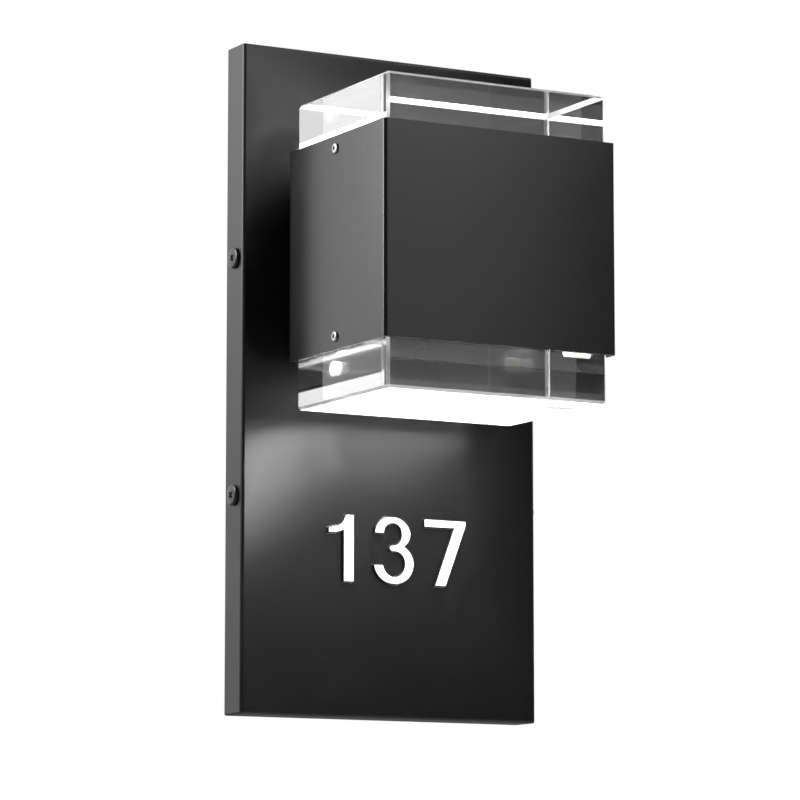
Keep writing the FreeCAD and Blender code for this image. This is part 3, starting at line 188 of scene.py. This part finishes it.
def add(tree, kind, settings=None, values=None, links=None):
    """Add a node with its settings, its plain socket values and its links."""
    node = tree.nodes.new(kind)
    for name, value in (settings or {}).items():
        setattr(node, name, value)
    for name, value in (values or {}).items():
        node.inputs[name].default_value = value
    for name, output in (links or {}).items():
        tree.links.new(output, node.inputs[name])
    return node


def surface(name, base, values):
    """A material with its shader's plain values set, its tree, its shader and its object coordinates."""
    material = bpy.data.materials.new(name)
    material.use_nodes = True
    tree = material.node_tree
    shader = tree.nodes["Principled BSDF"]
    shader.inputs["Base Color"].default_value = (*base, 1.0)
    for socket, value in values.items():
        shader.inputs[socket].default_value = value
    place = add(tree, "ShaderNodeTexCoord").outputs["Object"]
    return material, tree, shader, place


def powder_coat(name, colours, sizes, low, high):
    """Polyester powder coat, oven cured: satin black, with a fine orange peel that softens its reflections."""
    material, tree, shader, place = surface(name, colours.coat, {"Roughness": low, "IOR": 1.5})
    peel = add(tree, "ShaderNodeTexNoise", links={"Vector": place},
               values={"Scale": 1 / sizes.coat_grain, "Detail": 2.0, "Roughness": 0.55})
    relief = add(tree, "ShaderNodeBump", values={"Strength": 0.12, "Distance": 0.02 * MM},
                 links={"Height": peel.outputs["Fac"]})
    tree.links.new(relief.outputs["Normal"], shader.inputs["Normal"])
    handling = add(tree, "ShaderNodeTexNoise", values={"Scale": 1 / (35 * MM), "Detail": 3.0},
                   links={"Vector": place})
    ranged = add(tree, "ShaderNodeMapRange", values={"To Min": low, "To Max": high},
                 links={"Value": handling.outputs["Fac"]})
    tree.links.new(ranged.outputs["Result"], shader.inputs["Roughness"])
    return material


def clear_acrylic(name, colours, low, high, grain):
    """Cast acrylic: clear where it is flame polished, and frosted where a tool has cut it."""
    material, tree, shader, place = surface(name, colours.acrylic,
                                            {"Roughness": low, "IOR": 1.49, "Transmission Weight": 1.0})
    if high > low:
        marks = add(tree, "ShaderNodeTexNoise", values={"Scale": 1 / grain, "Detail": 2.0},
                    links={"Vector": place})
        ranged = add(tree, "ShaderNodeMapRange", values={"To Min": low, "To Max": high},
                     links={"Value": marks.outputs["Fac"]})
        tree.links.new(ranged.outputs["Result"], shader.inputs["Roughness"])
    return material


def lit_opal(name, glow, strength):
    """Opal acrylic lit from behind: an even, white, slightly satin glow. The insert holes in the clear blocks
    take it too, as a painted glow.
    """
    material, tree, shader, place = surface(name, glow, {"Roughness": 0.4, "IOR": 1.49,
                                                         "Emission Color": (*glow, 1.0),
                                                         "Emission Strength": strength})
    cloud = add(tree, "ShaderNodeTexNoise", values={"Scale": 1 / (3 * MM), "Detail": 2.0},
                links={"Vector": place})
    ranged = add(tree, "ShaderNodeMapRange", values={"To Min": 0.35, "To Max": 0.45},
                 links={"Value": cloud.outputs["Fac"]})
    tree.links.new(ranged.outputs["Result"], shader.inputs["Roughness"])
    return material


def plated_steel(name, base, low, high, grain, depth):
    """Plated or plain steel: bright and slightly grained by the sheet that it was made from."""
    material, tree, shader, place = surface(name, base, {"Metallic": 1.0, "Roughness": low})
    spangle = add(tree, "ShaderNodeTexNoise", values={"Scale": 1 / grain, "Detail": 4.0, "Roughness": 0.6},
                  links={"Vector": place})
    ranged = add(tree, "ShaderNodeMapRange", values={"To Min": low, "To Max": high},
                 links={"Value": spangle.outputs["Fac"]})
    tree.links.new(ranged.outputs["Result"], shader.inputs["Roughness"])
    relief = add(tree, "ShaderNodeBump", values={"Strength": 0.15, "Distance": depth},
                 links={"Height": spangle.outputs["Fac"]})
    tree.links.new(relief.outputs["Normal"], shader.inputs["Normal"])
    return material


def moulded(name, base, roughness, grain):
    """Moulded plastic: an even colour with a faint spark-eroded texture from the mould."""
    material, tree, shader, place = surface(name, base, {"Roughness": roughness, "IOR": 1.5})
    texture = add(tree, "ShaderNodeTexNoise", values={"Scale": 1 / grain, "Detail": 2.0},
                  links={"Vector": place})
    relief = add(tree, "ShaderNodeBump", values={"Strength": 0.2, "Distance": 0.02 * MM},
                 links={"Height": texture.outputs["Fac"]})
    tree.links.new(relief.outputs["Normal"], shader.inputs["Normal"])
    ranged = add(tree, "ShaderNodeMapRange", values={"To Min": roughness - 0.05, "To Max": roughness + 0.05},
                 links={"Value": texture.outputs["Fac"]})
    tree.links.new(ranged.outputs["Result"], shader.inputs["Roughness"])
    return material


def cast_aluminium():
    """Pressure die-cast aluminium: pale, dull and faintly mottled."""
    material, tree, shader, place = surface("die_cast_aluminium", linear("#C9CBCC"),
                                            {"Metallic": 1.0, "Roughness": 0.5})
    mottle = add(tree, "ShaderNodeTexNoise", values={"Scale": 1 / (1.6 * MM), "Detail": 5.0},
                 links={"Vector": place})
    ranged = add(tree, "ShaderNodeMapRange", values={"To Min": 0.42, "To Max": 0.62},
                 links={"Value": mottle.outputs["Fac"]})
    tree.links.new(ranged.outputs["Result"], shader.inputs["Roughness"])
    relief = add(tree, "ShaderNodeBump", values={"Strength": 0.35, "Distance": 0.06 * MM},
                 links={"Height": mottle.outputs["Fac"]})
    tree.links.new(relief.outputs["Normal"], shader.inputs["Normal"])
    return material


def cell_foam(colours):
    """Closed-cell foam strip: matt, with fine open bubbles on its cut faces."""
    material, tree, shader, place = surface("closed_cell_foam", colours.foam, {"Roughness": 0.9})
    cells = add(tree, "ShaderNodeTexVoronoi", values={"Scale": 1 / (0.6 * MM)}, links={"Vector": place})
    relief = add(tree, "ShaderNodeBump", values={"Strength": 0.6, "Distance": 0.2 * MM},
                 links={"Height": cells.outputs["Distance"]})
    tree.links.new(relief.outputs["Normal"], shader.inputs["Normal"])
    return material


def solder_mask():
    """White solder mask on an aluminium board: semi-gloss over the faint relief of its copper."""
    material, tree, shader, place = surface("white_solder_mask", linear("#E6E8E4"), {"Roughness": 0.35})
    copper = add(tree, "ShaderNodeTexBrick", values={"Scale": 1 / (36 * MM), "Mortar Size": 0.012},
                 links={"Vector": place})
    relief = add(tree, "ShaderNodeBump", values={"Strength": 0.4, "Distance": 0.05 * MM},
                 links={"Height": copper.outputs["Fac"]})
    tree.links.new(relief.outputs["Normal"], shader.inputs["Normal"])
    return material


def phosphor():
    """LED chip: yellow phosphor in clear silicone."""
    material, tree, shader, place = surface("led_phosphor", linear("#E8C64A"), {"Roughness": 0.3})
    speck = add(tree, "ShaderNodeTexNoise", values={"Scale": 1 / (0.3 * MM)}, links={"Vector": place})
    ranged = add(tree, "ShaderNodeMapRange", values={"To Min": 0.25, "To Max": 0.4},
                 links={"Value": speck.outputs["Fac"]})
    tree.links.new(ranged.outputs["Result"], shader.inputs["Roughness"])
    return material


def silicone():
    """Black neutral-cure silicone bead: dark, rubbery and a little lumpy."""
    material, tree, shader, place = surface("black_silicone", linear("#151515"),
                                            {"Roughness": 0.5, "IOR": 1.41})
    lumps = add(tree, "ShaderNodeTexNoise", values={"Scale": 1 / (2.5 * MM)}, links={"Vector": place})
    relief = add(tree, "ShaderNodeBump", values={"Strength": 0.3, "Distance": 0.1 * MM},
                 links={"Height": lumps.outputs["Fac"]})
    tree.links.new(relief.outputs["Normal"], shader.inputs["Normal"])
    return material


# Pieces

def wear(node, material):
    """Give a CAD node its material."""
    shape = frame["nodes"][node]
    shape.data.materials.clear()
    shape.data.materials.append(material)


def finished(name, shape, materials, node, flat=False):
    """Turn a bmesh into a piece that stands for a CAD node and moves with its body."""
    mesh = bpy.data.meshes.new(name)
    shape.to_mesh(mesh)
    shape.free()
    for material in materials:
        mesh.materials.append(material)
    if not flat:
        mesh.shade_smooth()
        mesh.set_sharp_from_angle(angle=SHARP_ANGLE)
    piece = bpy.data.objects.new(name, mesh)
    bpy.context.scene.collection.objects.link(piece)
    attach(piece, BODY_OF[node])
    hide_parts(node)
    return piece


def eased(node, material, width):
    """A copy of a CAD node as one clean mesh, with its sharp edges eased, in the node's place."""
    shape = bmesh.new()
    shape.from_mesh(frame["nodes"][node].data)
    bmesh.ops.remove_doubles(shape, verts=shape.verts, dist=MERGED)
    bmesh.ops.dissolve_limit(shape, angle_limit=FLAT_ANGLE, verts=shape.verts, edges=shape.edges)
    piece = finished(f"{node}_finish", shape, [material], node)
    bevel = piece.modifiers.new("eased_edges", "BEVEL")
    bevel.width = width
    bevel.segments = 2
    bevel.limit_method = "ANGLE"
    bevel.angle_limit = BEVEL_ANGLE
    bevel.harden_normals = True
    return piece


def spun(profile, steps, turns=1.0, rise=0.0):
    """Spin a profile of (radius, height) about the Z axis, rising along it if asked."""
    shape = bmesh.new()
    corners = [shape.verts.new((radius, 0.0, height)) for radius, height in profile]
    edges = [shape.edges.new(pair) for pair in zip(corners, corners[1:])]
    count = round(steps * turns)
    bmesh.ops.spin(shape, geom=corners + edges, cent=(0, 0, 0), axis=(0, 0, 1), dvec=(0, 0, rise / steps),
                   angle=math.tau * turns, steps=count, use_merge=rise == 0.0)
    bmesh.ops.remove_doubles(shape, verts=shape.verts, dist=2 * MERGED)
    holes = [edge for edge in shape.edges if edge.is_boundary]
    if holes:
        bmesh.ops.holes_fill(shape, edges=holes, sides=0)
    bmesh.ops.recalc_face_normals(shape, faces=shape.faces)
    return shape


def joined(shapes):
    """Several bmeshes in one."""
    whole = bmesh.new()
    for shape in shapes:
        mesh = bpy.data.meshes.new("part")
        shape.to_mesh(mesh)
        shape.free()
        whole.from_mesh(mesh)
        bpy.data.meshes.remove(mesh)
    return whole


def cut_away(solid, tool):
    """A bmesh with another one cut out of it."""
    pieces = []
    for name, shape in (("solid", solid), ("tool", tool)):
        mesh = bpy.data.meshes.new(name)
        shape.to_mesh(mesh)
        shape.free()
        piece = bpy.data.objects.new(name, mesh)
        bpy.context.scene.collection.objects.link(piece)
        pieces.append(piece)
    for piece in pieces:
        for _ in range(3):
            piece.data.materials.append(None)
    cut = pieces[0].modifiers.new("cut", "BOOLEAN")
    cut.operation = "DIFFERENCE"
    cut.solver = "EXACT"
    cut.object = pieces[1]
    bpy.context.view_layer.update()
    result = bpy.data.meshes.new_from_object(pieces[0].evaluated_get(bpy.context.evaluated_depsgraph_get()))
    shape = bmesh.new()
    shape.from_mesh(result)
    bpy.data.meshes.remove(result)
    for piece in pieces:
        mesh = piece.data
        bpy.data.objects.remove(piece)
        bpy.data.meshes.remove(mesh)
    return shape


def recess(outline, top, bottom, share):
    """A cutter: an outline drawn down from a top to a bottom height, where it is a share as large."""
    shape = bmesh.new()
    face = shape.faces.new([shape.verts.new((x, y, top)) for x, y in outline])
    drawn = bmesh.ops.extrude_face_region(shape, geom=[face])["geom"]
    low = [item for item in drawn if isinstance(item, bmesh.types.BMVert)]
    for corner in low:
        corner.co = Vector((corner.co.x * share, corner.co.y * share, bottom))
    bmesh.ops.recalc_face_normals(shape, faces=shape.faces)
    return shape


def cross_outline(span, width):
    """The twelve corners of a cross."""
    half, arm = span / 2, width / 2
    quarter = [(half, -arm), (half, arm), (arm, arm)]
    corners = []
    for turn in range(4):
        for x, y in quarter:
            for _ in range(turn):
                x, y = -y, x
            corners.append((x, y))
    return corners


def hexagon_outline(flats):
    """The six corners of a hexagon of a width across flats."""
    radius = flats / math.sqrt(3)
    ways = [math.tau * turn / 6 for turn in range(6)]
    return [(radius * math.cos(way), radius * math.sin(way)) for way in ways]


def fastener(head, crown, thread, pitch, shank, drive, taper):
    """A threaded screw along -Z, with its pan head standing on the plane z = 0."""
    flat = head * 0.37
    shoulder = crown * 0.94
    fall = crown * 0.45
    profile = [(0.0, crown), (flat * 0.5, crown * 0.985), (flat, shoulder)]
    steps = 6
    for step in range(1, steps + 1):
        way = math.pi / 2 * step / steps
        profile.append((flat + (head / 2 - flat) * math.sin(way), shoulder - fall * (1 - math.cos(way))))
    neck = thread * 0.42
    lip = crown * 0.08
    profile += [(head / 2, lip), (head / 2 - lip, 0.0), (neck, 0.0), (neck, -shank + pitch),
                (neck - pitch, -shank), (0.0, -shank)]
    blank = spun(profile, SPIN_STEPS)
    tool = recess(drive, crown * 1.5, crown * 0.2, taper)
    root, crest = thread / 2 - pitch * 0.6, thread / 2
    turns = (shank - 2.2 * pitch) / pitch
    low = -shank + 0.8 * pitch
    ridge = [(root, low), (crest, low + pitch * 0.44), (crest, low + pitch * 0.56), (root, low + pitch)]
    return joined([cut_away(blank, tool), spun(ridge, THREAD_STEPS, turns, pitch)])


def set_down(shape, way, place, driven=0.0):
    """Turn a screw from +Z to a way, driven round by an angle, and move it to its place."""
    faced = Vector((0, 0, 1)).rotation_difference(Vector(way)).to_matrix().to_4x4()
    turn = faced @ Matrix.Rotation(driven, 4, "Z")
    bmesh.ops.transform(shape, matrix=Matrix.Translation(place) @ turn, verts=shape.verts)
    return shape


def centre(low, high):
    """The middle of a box."""
    return (low + high) / 2


def block_piece(end, sizes, materials):
    """A clear block: polished faces, milled chamfers, and a blind hole for an insert in each side, whose walls
    take a painted glow.
    """
    low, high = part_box(f"{end}_block")
    air = Vector((sizes.block_air,) * 3)
    low, high = low + air, high - air
    shape = bmesh.new()
    bmesh.ops.create_cube(shape, size=1.0)
    bmesh.ops.scale(shape, vec=high - low, verts=shape.verts)
    bmesh.ops.translate(shape, vec=centre(low, high), verts=shape.verts)
    bmesh.ops.bevel(shape, geom=shape.edges[:], affect="EDGES", offset=sizes.block_chamfer, segments=1,
                    profile=0.5, material=2)
    inserts_low, inserts_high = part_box("block_inserts")
    radius = sizes.insert_across / 2
    height = inserts_high.z - radius if end == "top" else inserts_low.z + radius
    middle = centre(low, high)
    for way, start in ((1, low.x), (-1, high.x)):
        tool = bmesh.new()
        bmesh.ops.create_cone(tool, cap_ends=True, segments=SPIN_STEPS, radius1=radius, radius2=radius,
                              depth=2 * sizes.insert_depth)
        bmesh.ops.rotate(tool, cent=(0, 0, 0), matrix=Matrix.Rotation(math.pi / 2, 3, "Y"), verts=tool.verts)
        bmesh.ops.translate(tool, vec=(start, middle.y, height), verts=tool.verts)
        shape = cut_away(shape, tool)
    for face in shape.faces:
        spot = face.calc_center_median()
        inside = min(spot.x - low.x, high.x - spot.x) > 10 * MERGED
        near = math.hypot(spot.y - middle.y, spot.z - height) < radius * 1.01
        if inside and near:
            # The hole's walls take the second material, a painted glow that stands in for light scattered by
            # the inserts.
            face.material_index = 1
    return finished(f"{end}_block_clear", shape, materials, f"{end}_block", flat=True)


def digit_piece(node, sizes, materials):
    """A raised digit: a lit front face, and soft edges and sides that are painted black."""
    shape = bmesh.new()
    shape.from_mesh(frame["nodes"][node].data)
    bmesh.ops.remove_doubles(shape, verts=shape.verts, dist=MERGED)
    bmesh.ops.dissolve_limit(shape, angle_limit=FLAT_ANGLE, verts=shape.verts, edges=shape.edges)
    front = min(shape.faces, key=lambda face: face.calc_center_median().y)
    for face in shape.faces:
        face.material_index = 0 if face == front else 1
    bmesh.ops.bevel(shape, geom=front.edges[:], affect="EDGES", offset=sizes.digit_round, segments=3,
                    profile=0.5, material=1)
    return finished(f"{node}_lit", shape, materials, node)


# Operators

class Dressing:
    """What every operator of this file shares."""
    bl_options = {"REGISTER"}

    def execute(self, context):
        scene = context.scene
        self.dress(scene.wall_light_sizes, scene.wall_light_colours, scene.wall_light_stage)
        return {"FINISHED"}


class WALLLIGHT_OT_plate(Dressing, bpy.types.Operator):
    """Coat the folded back plate and fit its foam seal"""
    bl_idname = "wall_light.plate"
    bl_label = "Back Plate"

    def dress(self, sizes, colours, stage):
        coat = powder_coat("plate_powder_coat", colours, sizes, 0.40, 0.48)
        eased("back_plate", coat, sizes.edge_round)
        wear("wall_seal", cell_foam(colours))


class WALLLIGHT_OT_bracket(Dressing, bpy.types.Operator):
    """Finish the wall bracket, its weld nuts and its earth point"""
    bl_idname = "wall_light.bracket"
    bl_label = "Wall Bracket"

    def dress(self, sizes, colours, stage):
        zinc = plated_steel("zinc_plated_steel", colours.zinc, 0.28, 0.42, 4 * MM, 0.02 * MM)
        eased("wall_bracket", zinc, sizes.edge_round)
        eased("bracket_weld_nuts", zinc, sizes.edge_round)
        green = plated_steel("green_zinc_plate", colours.earth, 0.3, 0.4, 2 * MM, 0.02 * MM)
        eased("earth_screw", green, sizes.edge_round)
        wear("earth_ring", plated_steel("tinned_brass", linear("#C8B68A"), 0.25, 0.4, 1.5 * MM, 0.02 * MM))
        wear("earth_lead", moulded("green_insulation", colours.earth, 0.4, 1 * MM))


class WALLLIGHT_OT_side_screws(Dressing, bpy.types.Operator):
    """Make the four threaded truss-head screws that lock the front to the bracket"""
    bl_idname = "wall_light.side_screws"
    bl_label = "Side Screws"

    def dress(self, sizes, colours, stage):
        steel = moulded("black_painted_steel", colours.black_steel, 0.3, 0.6 * MM)
        for node in SIDE_SCREWS:
            low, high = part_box(node)
            side = -1 if low.x + high.x < 0 else 1
            face = (high.x if side > 0 else -low.x) - sizes.side_crown
            shank = high.x - low.x - sizes.side_crown
            shape = fastener(sizes.side_head, sizes.side_crown, sizes.side_thread, sizes.side_pitch, shank,
                             cross_outline(sizes.cross_span, sizes.cross_arm), 0.5)
            middle = centre(low, high)
            set_down(shape, (side, 0, 0), Vector((side * face, middle.y, middle.z)), sizes.cross_turn)
            finished(f"{node}_threaded", shape, [steel], node)


class WALLLIGHT_OT_sleeve(Dressing, bpy.types.Operator):
    """Coat the head's sleeve and finish the neck that carries it"""
    bl_idname = "wall_light.sleeve"
    bl_label = "Head Sleeve and Neck"

    def dress(self, sizes, colours, stage):
        coat = powder_coat("sleeve_powder_coat", colours, sizes, 0.24, 0.32)
        eased("head_sleeve", coat, sizes.edge_round)
        eased("neck_spacer", coat, sizes.edge_round)
        zinc = plated_steel("zinc_plated_screws", colours.zinc, 0.3, 0.42, 1.5 * MM, 0.02 * MM)
        for node in ("neck_screws", "neck_nuts"):
            wear(node, zinc)
        wear("wire_bushing", moulded("black_nylon", linear("#141415"), 0.45, 0.8 * MM))


class WALLLIGHT_OT_blocks(Dressing, bpy.types.Operator):
    """Make the clear blocks with a painted glow in their insert holes, and light the opal sheets behind them
    """
    bl_idname = "wall_light.blocks"
    bl_label = "Clear Blocks"

    def dress(self, sizes, colours, stage):
        acrylic = [clear_acrylic("polished_acrylic", colours, 0.0, 0.0, 0.0),
                   # The insert holes' walls get a painted glow, not light from a lamp.
                   lit_opal("insert_wall_painted_glow", colours.nylon, stage.insert_painted_glow),
                   clear_acrylic("milled_acrylic", colours, 0.4, 0.5, 4 * MM)]
        opal = lit_opal("lit_opal_sheet", colours.glow, stage.head_glow)
        bead = silicone()
        for end in ENDS:
            block_piece(end, sizes, acrylic)
            wear(f"{end}_diffuser", opal)
            wear(f"{end}_block_seal", bead)
        wear("block_inserts", moulded("natural_white_nylon", colours.nylon, 0.45, 0.6 * MM))


class WALLLIGHT_OT_block_screws(Dressing, bpy.types.Operator):
    """Make the small button screws that hold the clear blocks"""
    bl_idname = "wall_light.block_screws"
    bl_label = "Block Screws"

    def dress(self, sizes, colours, stage):
        steel = plated_steel("stainless_steel", colours.stainless, 0.22, 0.34, 0.8 * MM, 0.01 * MM)
        low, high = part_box("block_screws")
        radius = sizes.small_head / 2
        middle = centre(low, high)
        screws = []
        sleeve_low, sleeve_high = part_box("head_sleeve")
        for side in (-1, 1):
            for height in (low.z + radius, high.z - radius):
                shape = fastener(sizes.small_head, sizes.small_crown, sizes.small_thread, sizes.small_pitch,
                                 sizes.small_shank, hexagon_outline(sizes.small_hex), 1.0)
                face = sleeve_high.x if side > 0 else -sleeve_low.x
                screws.append(set_down(shape, (side, 0, 0), Vector((side * face, middle.y, height))))
        finished("block_screws_threaded", joined(screws), [steel], "block_screws")


class WALLLIGHT_OT_light_engines(Dressing, bpy.types.Operator):
    """Finish the trays, boards, chips, posts, driver and leads inside the head"""
    bl_idname = "wall_light.light_engines"
    bl_label = "Light Engines and Driver"

    def dress(self, sizes, colours, stage):
        cast, mask, chips = cast_aluminium(), solder_mask(), phosphor()
        for end in ENDS:
            wear(f"{end}_tray", cast)
            wear(f"{end}_led_board", mask)
            wear(f"{end}_leds", chips)
        wear("number_led_board", mask)
        wear("number_leds", chips)
        post = plated_steel("plain_steel_posts", colours.stainless, 0.25, 0.38, 1.2 * MM, 0.02 * MM)
        for node in ("tray_posts", "post_screws", "driver_screws"):
            wear(node, post)
        eased("led_driver", moulded("driver_moulding", colours.cream, 0.5, 1 * MM), sizes.moulded_round)
        terminal = moulded("terminal_moulding", colours.cream, 0.4, 1 * MM)
        eased("terminal_block", terminal, sizes.moulded_round)
        brass = plated_steel("brass_screws", linear("#C4A860"), 0.25, 0.38, 1 * MM, 0.02 * MM)
        wear("terminal_screws", brass)
        insulation = moulded("black_insulation", colours.lead, 0.38, 1 * MM)
        for node in ("supply_leads", "top_board_leads", "bottom_board_leads", "number_leads"):
            wear(node, insulation)


class WALLLIGHT_OT_number(Dressing, bpy.types.Operator):
    """Light the three raised digits and finish the light box behind them"""
    bl_idname = "wall_light.number"
    bl_label = "Room Number"

    def dress(self, sizes, colours, stage):
        opal = [lit_opal("lit_opal_digits", colours.glow, stage.digit_glow),
                moulded("black_digit_sides", colours.coat, 0.4, 0.8 * MM)]
        for digit in ("one", "three", "seven"):
            digit_piece(f"digit_{digit}", sizes, opal)
        wear("number_diffuser", lit_opal("opal_sheet", colours.glow, stage.digit_glow))
        eased("number_box", moulded("white_light_box", colours.cream, 0.45, 1 * MM), sizes.moulded_round)
        zinc = plated_steel("zinc_plated_studs", colours.zinc, 0.3, 0.42, 1.5 * MM, 0.02 * MM)
        wear("plate_studs", zinc)
        eased("stud_nuts", zinc, sizes.edge_round)


class WALLLIGHT_OT_stage(Dressing, bpy.types.Operator):
    """Lay the pale floor, set the soft studio light and place the camera"""
    bl_idname = "wall_light.stage"
    bl_label = "Stage and Camera"

    def dress(self, sizes, colours, stage):
        self.floor(stage, colours)
        self.surroundings(stage)
        self.lamps()
        self.camera(stage)

    def floor(self, stage, colours):
        """A pale matt floor that is nearly white where it is seen directly and keeps the light's shadow."""
        shape = bmesh.new()
        bmesh.ops.create_grid(shape, x_segments=1, y_segments=1, size=6.0)
        bmesh.ops.translate(shape, vec=(0, 0, cad_box[0].z - stage.floor_drop), verts=shape.verts)
        mesh = bpy.data.meshes.new("studio_floor")
        shape.to_mesh(mesh)
        shape.free()
        piece = bpy.data.objects.new("studio_floor", mesh)
        bpy.context.scene.collection.objects.link(piece)
        material = bpy.data.materials.new("pale_floor")
        material.use_nodes = True
        tree = material.node_tree
        tree.nodes.clear()
        matt = add(tree, "ShaderNodeBsdfDiffuse", values={"Color": (*colours.floor, 1.0)})
        white = add(tree, "ShaderNodeEmission", values={"Color": (1, 1, 1, 1), "Strength": 1.0})
        seen = add(tree, "ShaderNodeLightPath")
        clear = add(tree, "ShaderNodeMath", settings={"operation": "ADD"},
                    links={0: seen.outputs["Is Camera Ray"], 1: seen.outputs["Is Transmission Ray"]})
        share = add(tree, "ShaderNodeMath", settings={"operation": "MULTIPLY", "use_clamp": True},
                    values={1: stage.floor_white}, links={0: clear.outputs[0]})
        mixed = add(tree, "ShaderNodeMixShader", links={0: share.outputs[0], 1: matt.outputs[0],
                                                        2: white.outputs[0]})
        add(tree, "ShaderNodeOutputMaterial", links={"Surface": mixed.outputs[0]})
        mesh.materials.append(material)

    def surroundings(self, stage):
        """A white studio behind the light and a dark room before it, white wherever it is seen directly."""
        world = bpy.data.worlds.new("pale_studio")
        bpy.context.scene.world = world
        world.use_nodes = True
        tree = world.node_tree
        tree.nodes.clear()
        around = add(tree, "ShaderNodeTexCoord")
        way = add(tree, "ShaderNodeSeparateXYZ", links={0: around.outputs["Generated"]})
        behind = add(tree, "ShaderNodeMapRange", settings={"interpolation_type": "SMOOTHSTEP"},
                     values={"From Min": 0.4, "From Max": 0.9, "To Min": stage.room_front,
                             "To Max": stage.room_back},
                     links={"Value": way.outputs["Y"]})
        seen = add(tree, "ShaderNodeLightPath")
        clear = add(tree, "ShaderNodeMath", settings={"operation": "ADD", "use_clamp": True},
                    links={0: seen.outputs["Is Camera Ray"], 1: seen.outputs["Is Transmission Ray"]})
        white = add(tree, "ShaderNodeBackground", values={"Color": (1, 1, 1, 1), "Strength": 1.0})
        room = add(tree, "ShaderNodeBackground", values={"Color": (1, 1, 1, 1)},
                   links={"Strength": behind.outputs["Result"]})
        mixed = add(tree, "ShaderNodeMixShader", links={0: clear.outputs[0], 1: room.outputs[0],
                                                        2: white.outputs[0]})
        add(tree, "ShaderNodeOutputWorld", links={"Surface": mixed.outputs[0]})

    def lamps(self):
        """Soft area lamps that the camera doesn't see, neither directly nor through the blocks."""
        for name, middle, aim, width, height, watts in SOFTBOXES:
            lamp = bpy.data.lights.new(name, "AREA")
            lamp.shape = "RECTANGLE"
            lamp.size = width
            lamp.size_y = height
            lamp.energy = watts
            stand = bpy.data.objects.new(name, lamp)
            stand.location = middle
            stand.rotation_euler = (Vector(aim) - Vector(middle)).to_track_quat("-Z", "Y").to_euler()
            stand.visible_camera = False
            stand.visible_transmission = False
            bpy.context.scene.collection.objects.link(stand)

    def camera(self, stage):
        lens = bpy.data.cameras.new("camera")
        lens.lens = stage.lens
        lens.sensor_width = 36.0
        lens.clip_end = 50.0
        viewer = bpy.data.objects.new("camera", lens)
        level_share = math.cos(stage.pitch)
        ahead = Vector((math.sin(stage.yaw) * level_share, math.cos(stage.yaw) * level_share,
                        math.sin(stage.pitch)))
        place = Vector(stage.target) - ahead * stage.distance
        level = ahead.to_track_quat("-Z", "Y").to_matrix().to_4x4()
        viewer.matrix_world = Matrix.Translation(place) @ level @ Matrix.Rotation(stage.roll, 4, "Z")
        bpy.context.scene.collection.objects.link(viewer)
        bpy.context.scene.camera = viewer
        bpy.context.scene.view_settings.view_transform = "Standard"


STEPS = (
    WALLLIGHT_OT_stage,
    WALLLIGHT_OT_plate,
    WALLLIGHT_OT_bracket,
    WALLLIGHT_OT_side_screws,
    WALLLIGHT_OT_sleeve,
    WALLLIGHT_OT_blocks,
    WALLLIGHT_OT_block_screws,
    WALLLIGHT_OT_light_engines,
    WALLLIGHT_OT_number,
)


class WALLLIGHT_PT_panel(bpy.types.Panel):
    """Lists the wall light's operators, sizes and colours"""
    bl_idname = "WALLLIGHT_PT_panel"
    bl_label = "Room Number Wall Light"
    bl_space_type = "VIEW_3D"
    bl_region_type = "UI"
    bl_category = "Wall Light"

    def draw(self, context):
        for step in STEPS:
            self.layout.operator(step.bl_idname)
        for group in (context.scene.wall_light_sizes, context.scene.wall_light_colours,
                      context.scene.wall_light_stage):
            column = self.layout.column()
            for name in group.__annotations__:
                column.prop(group, name)


GROUPS = {
    "wall_light_sizes": WallLightSizes,
    "wall_light_colours": WallLightColours,
    "wall_light_stage": WallLightStage,
}
CLASSES = (*GROUPS.values(), *STEPS, WALLLIGHT_PT_panel)


def register():
    for kind in CLASSES:
        bpy.utils.register_class(kind)
    for name, group in GROUPS.items():
        setattr(bpy.types.Scene, name, bpy.props.PointerProperty(type=group))


def unregister():
    for name in GROUPS:
        delattr(bpy.types.Scene, name)
    for kind in reversed(CLASSES):
        bpy.utils.unregister_class(kind)


def main():
    register()
    for step in STEPS:
        group, name = step.bl_idname.split(".")
        getattr(getattr(bpy.ops, group), name)()


if __name__ == "__main__":
    main()
